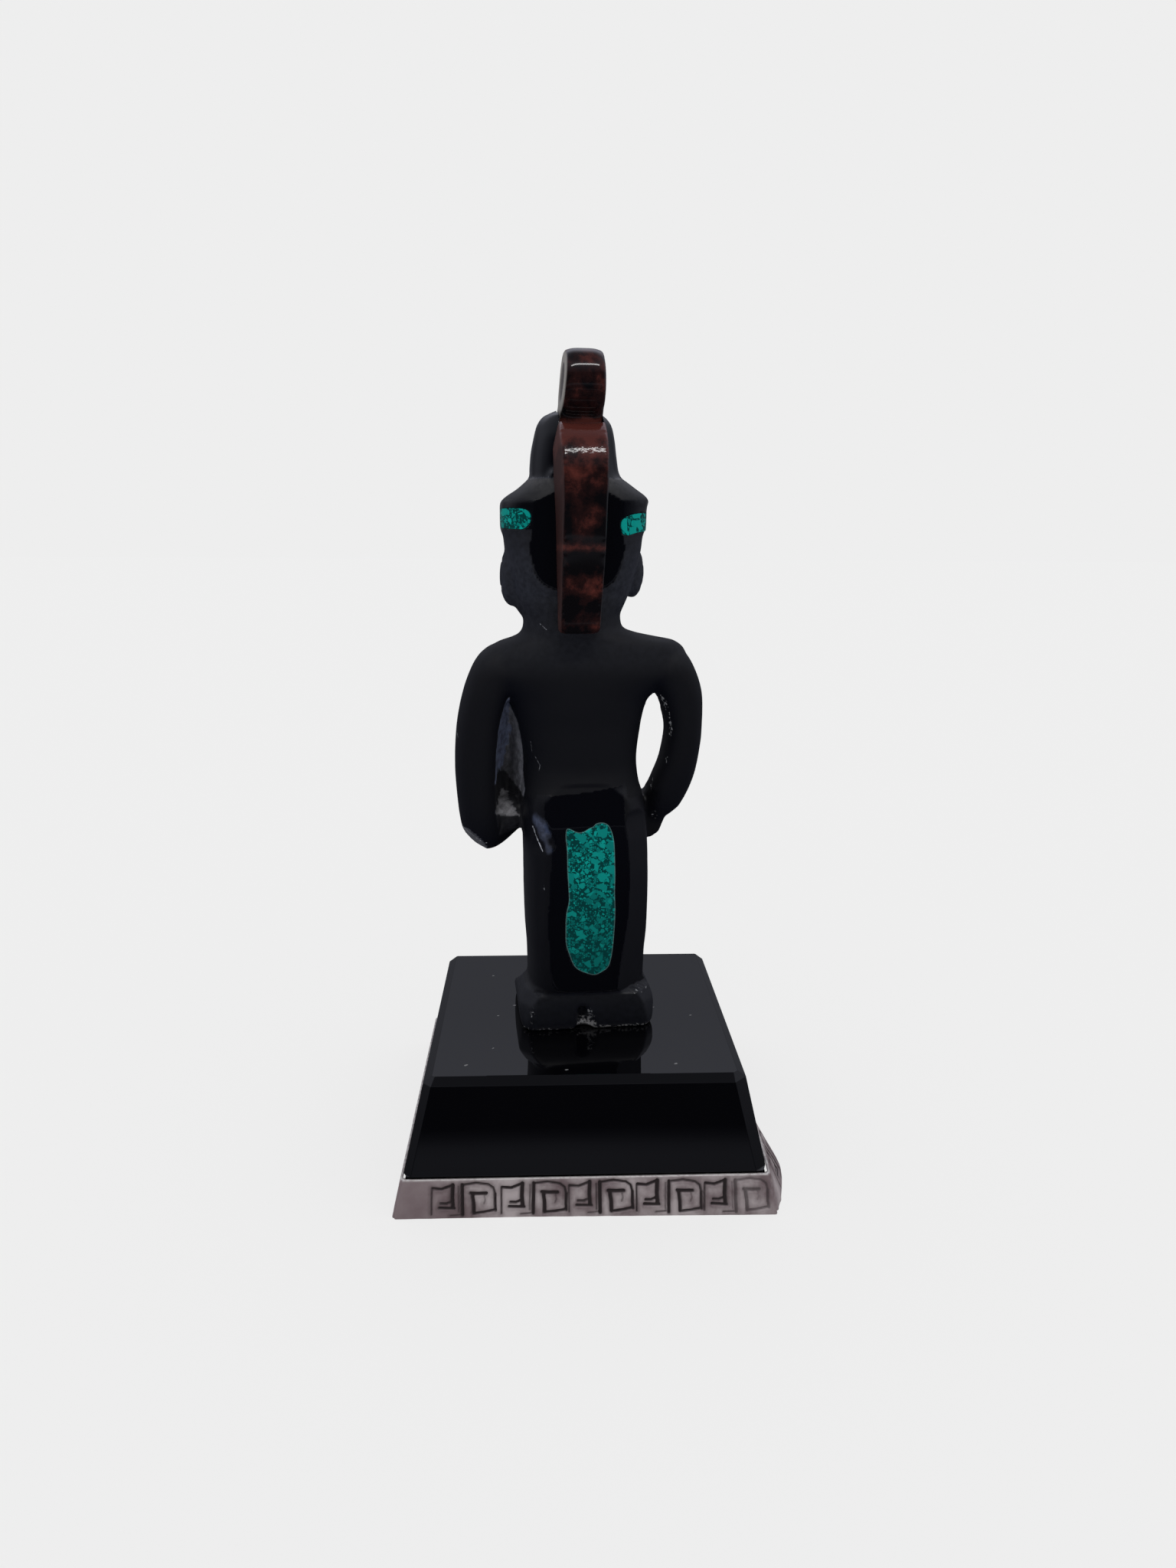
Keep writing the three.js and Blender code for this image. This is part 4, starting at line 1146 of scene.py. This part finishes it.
slab.normal_update()
for vert in slab.verts:
    across = hypot(vert.co.y - SCROLL_Y, vert.co.z - SCROLL_HEIGHT)
    vert[bore_layer] = limited((SCROLL_BORE + 0.35 - across) / 0.25)
    # red clouds, with painted light on the upturned shoulder
    vert[red_and_top_light_layer] = eased(CREST_RED_AND_TOP_LIGHT, vert.co.z)
    vert[chatter_layer] = exp(-((vert.co.z - 157.8) / 1.6) ** 2) if vert.co.y > 12 else 0
    # the crest's left face: rougher where sawn, and painted lighter as the lit side
    vert[sawn_lit_side_layer] = limited((vert.normal.x - 0.6) / 0.25)
    # painted light on the scroll's left face
    vert[lit_scroll_side_layer] = vert[sawn_lit_side_layer] * limited((vert.co.z - 162) / 2)
    swell = 0.05 * noise.noise(vert.co * 0.16)
    if abs(vert.co.y - HEAD_FLAT) > 0.3:
        vert.co += vert.normal * swell

CREST_BLACK = (0.003, 0.0026, 0.0034, 1)
CREST_BROWN = (0.017, 0.006, 0.006, 1)
CREST_RED = (0.098, 0.024, 0.019, 1)
BORE_GREY = (0.16, 0.15, 0.16, 1)
# painted light on the crest's left face
LIT_SIDE_PINK = (0.05, 0.014, 0.012, 1)
# painted light on the scroll's left face
LIT_SCROLL_SIDE_PALE = (0.3, 0.285, 0.275, 1)
mahogany, tree, shader = new_material("clouded_mahogany_obsidian", IOR=1.5)
red, sawn_lit_side, lit_scroll_side, bored, chatter = (
    attribute(tree, name) for name in ("red", "side", "scroll", "bore", "chatter"))
# the red mottle also carries painted light on the slab's upturned shoulder
mottle = maths("MULTIPLY_ADD", red, 0.42, cloudy(tree, 215, 5, 0.62))
colour = blended(ranged(mottle, 0.54, 0.68), CREST_BLACK, CREST_BROWN)
colour = blended(ranged(mottle, 0.68, 0.88), colour, CREST_RED)
# painted light on the crest's left face
colour = blended(maths("MULTIPLY", sawn_lit_side, 0.55), colour, LIT_SIDE_PINK)
# painted light on the scroll's left face, then the bore's own frosted grey
colour = blended(bored, blended(lit_scroll_side, colour, LIT_SCROLL_SIDE_PALE), BORE_GREY)
rough = ranged(maths("MAXIMUM", bored, sawn_lit_side), 0, 1, 0.09, 0.6)
ripple = maths("MULTIPLY", cloudy(tree, 1200, 1), chatter)
bump = put(tree, "Bump", Strength=0.8, Distance=0.00007, Height=ripple)
fill(shader, {"Base Color": colour, "Roughness": rough, "Normal": bump.outputs["Normal"]})
finish_piece(slab, "clouded_crest", mahogany, "crest", turn=FIGURE_TURN)

# Green inlays
# Crushed green stone in dark green resin, pressed into pockets in the skirt and the brim and ground flush.
# A thin pale rim runs along the skirt pocket's edge.
CHIP_BRIGHT = (0.0016, 0.352, 0.31, 1)
CHIP_DULL = (0.0006, 0.125, 0.118, 1)
RESIN_DARK = (0.0004, 0.047, 0.046, 1)
RIM_PALE = (0.12, 0.2, 0.2, 1)
RIM_WIDE = 0.22
crushed, tree, shader = new_material("crushed_green_stone", Roughness=0.25, IOR=1.35, Specular_IOR_Level=0.12)
place = object_place(tree)


def chips(under, scale, amount, dullest, margin):
    """One size of chip over the colour under it: some cells of the mix hold a chip, each with its own tone."""
    cells, edges = (put(tree, "TexVoronoi", Vector=place, Scale=scale) for _ in range(2))
    edges.feature = "DISTANCE_TO_EDGE"
    lot = put(tree, "SeparateColor", Color=cells.outputs["Color"]).outputs
    held = maths("LESS_THAN", lot["Red"], amount)
    inset = maths("MULTIPLY_ADD", lot["Blue"], -0.14, edges.outputs["Distance"])
    tone = blended(ranged(lot["Green"], 0, 1, dullest, 1), CHIP_DULL, CHIP_BRIGHT)
    return blended(maths("MULTIPLY", held, ranged(inset, margin, margin + 0.04)), under, tone)


colour = chips(RESIN_DARK, 2100, 0.55, 0, 0.03)
for scale, amount, dullest in ((1050, 0.46, 0.05), (640, 0.36, 0), (430, 0.28, 0.25)):
    colour = chips(colour, scale, amount, dullest, 0.05)
height = put(tree, "SeparateXYZ", Vector=place).outputs["Z"]
colour = blended(ranged(height, 0.045, 0.07, 0.52, 0), colour, RESIN_DARK)
fill(shader, {"Base Color": blended(maths("MULTIPLY", attribute(tree, "rim"), 0.8), colour, RIM_PALE)})


def fill_window(name, node, make, *shape):
    """The chips in one window, and a thin pale rim along the edge of the skirt's."""
    block = bmesh.new()
    rim_layer, = new_layers(block, "rim")
    make(block, *shape)
    point_outward(block)
    if make is skirt_block:
        outline = rounded(SKIRT_WINDOW, SKIRT_STEPS)
        for vert in block.verts:
            away = min((Vector((vert.co.x, vert.co.z)) - point).length for point in outline)
            vert[rim_layer] = max(0, 1 - away / RIM_WIDE)
    finish_piece(block, name, crushed, node, smooth=False, turn=FIGURE_TURN)


fill_window("skirt_chips", "skirt_inlay", skirt_block, [
    (PANEL_BACK - POCKET_DEEP, 0), (PANEL_BACK - 0.02, 0), (PANEL_BACK + 0.015, 0.06),
    (PANEL_BACK + 0.02, 0.26)])
for name, node, window in (("brim_chips_left", "headband_inlay_left", BRIM_WINDOW_LEFT),
                           ("brim_chips_right", "headband_inlay_right", BRIM_WINDOW_RIGHT)):
    fill_window(name, node, brim_block, window, [
        (-1.5, 0.3), (-1.5, 1), (-0.02, 1), (0.02, 0.985), (0.02, 0.8), (0.02, 0.6), (0.02, 0.4), (0.02, 0.2)])

# Floor and light
# A pale sweep that the camera sees as one even tone, and a soft room: bright overhead, dim and warm
# behind the camera, a cool window to one side, and a small lamp behind the camera for the glints.
FLOOR_GLOW, FLOOR_PAINT = 0.735, (0.19, 0.19, 0.19, 1)
sweep = bmesh.new()
bmesh.ops.create_grid(sweep, x_segments=2, y_segments=2, size=6)
floor = made(sweep, "floor")
floor.visible_glossy = False
paper, _, _ = new_material("pale_paper", Base_Color=FLOOR_PAINT, Roughness=1, Specular_IOR_Level=0,
                           Emission_Color=(1, 1, 1, 1), Emission_Strength=FLOOR_GLOW)
floor.data.materials.append(paper)

ROOM_SEEN = (0.855, 0.855, 0.855, 1)
ROOM_SOFT = (0.65, 0.65, 0.65, 1)
# what polished faces mirror: the angle above level in degrees, and how bright the room is there
BEHIND_CAMERA = [(-90, 0.01), (-29.2, 0.012), (-28.4, 0.1), (-27, 0.12), (-26.2, 0.012), (-20, 0.012),
                 (-14, 0.03), (-9, 0.15), (-6.9, 0.155), (-6, 0.015), (25, 0.02), (40, 0.14), (60, 0.28),
                 (74, 0.15), (90, 0.12)]
BEFORE_CAMERA = [(-90, 0.03), (-12, 0.08), (-2, 0.12), (8, 0.12), (14, 0.13), (20, 0.2), (25, 0.28), (32, 0.45),
                 (42, 0.74), (52, 0.84), (62, 0.55), (74, 0.16), (90, 0.12)]
AT_THE_SIDES = [(-90, 0.02), (-30, 0.03), (-18, 0.04), (-8, 0.1), (0, 0.24), (20, 0.33), (40, 0.42), (58, 0.35),
                (74, 0.14), (90, 0.12)]
ROOM_TINT = (0.95, 0.98, 1.14)

world = bpy.data.worlds.new("soft_room")
bpy.context.scene.world = world
world.use_nodes = True
tree = world.node_tree
direction = put(tree, "SeparateXYZ", Vector=put(tree, "TexCoord").outputs["Generated"]).outputs


def room_curve(stops):
    ramp = put(tree, "ValToRGB", Fac=ranged(direction["Z"], -1, 1))
    elements = ramp.color_ramp.elements
    for index, (angle, bright) in enumerate(stops):
        height = (sin(radians(angle)) + 1) / 2
        element = elements[index] if index < 2 else elements.new(height)
        element.position = height
        element.color = tuple(bright * tint for tint in ROOM_TINT) + (1,)
    return ramp.outputs["Color"]


mirrored = blended(ranged(direction["Y"], -0.1, 0.6), room_curve(AT_THE_SIDES), room_curve(BEHIND_CAMERA))
mirrored = blended(ranged(direction["Y"], -0.3, -0.65), mirrored, room_curve(BEFORE_CAMERA))
rays = put(tree, "LightPath").outputs
seen = blended(rays["Is Camera Ray"], blended(rays["Is Glossy Ray"], ROOM_SOFT, mirrored), ROOM_SEEN)
fill(tree.nodes["Background"], {"Color": seen})

LAMP_AWAY, LAMP_RISE, LAMP_TURN = 0.95, radians(57), radians(12)
LAMP_WIDE, LAMP_TALL, LAMP_WATTS = 0.78, 0.06, 1.9
lamp_data = bpy.data.lights.new("small_lamp", "AREA")
lamp_data.shape = "RECTANGLE"
lamp_data.size, lamp_data.size_y = LAMP_WIDE, LAMP_TALL
lamp_data.energy = LAMP_WATTS
lamp = into_scene("small_lamp", lamp_data)
lamp_way = way(LAMP_TURN, LAMP_RISE)
lamp_place = lamp_way * LAMP_AWAY + Vector((0, 0, 0.15))
lamp.matrix_world = Matrix.Translation(lamp_place) @ lamp_way.to_track_quat("Z", "Y").to_matrix().to_4x4()
lamp.visible_camera = False
lamp.visible_diffuse = False
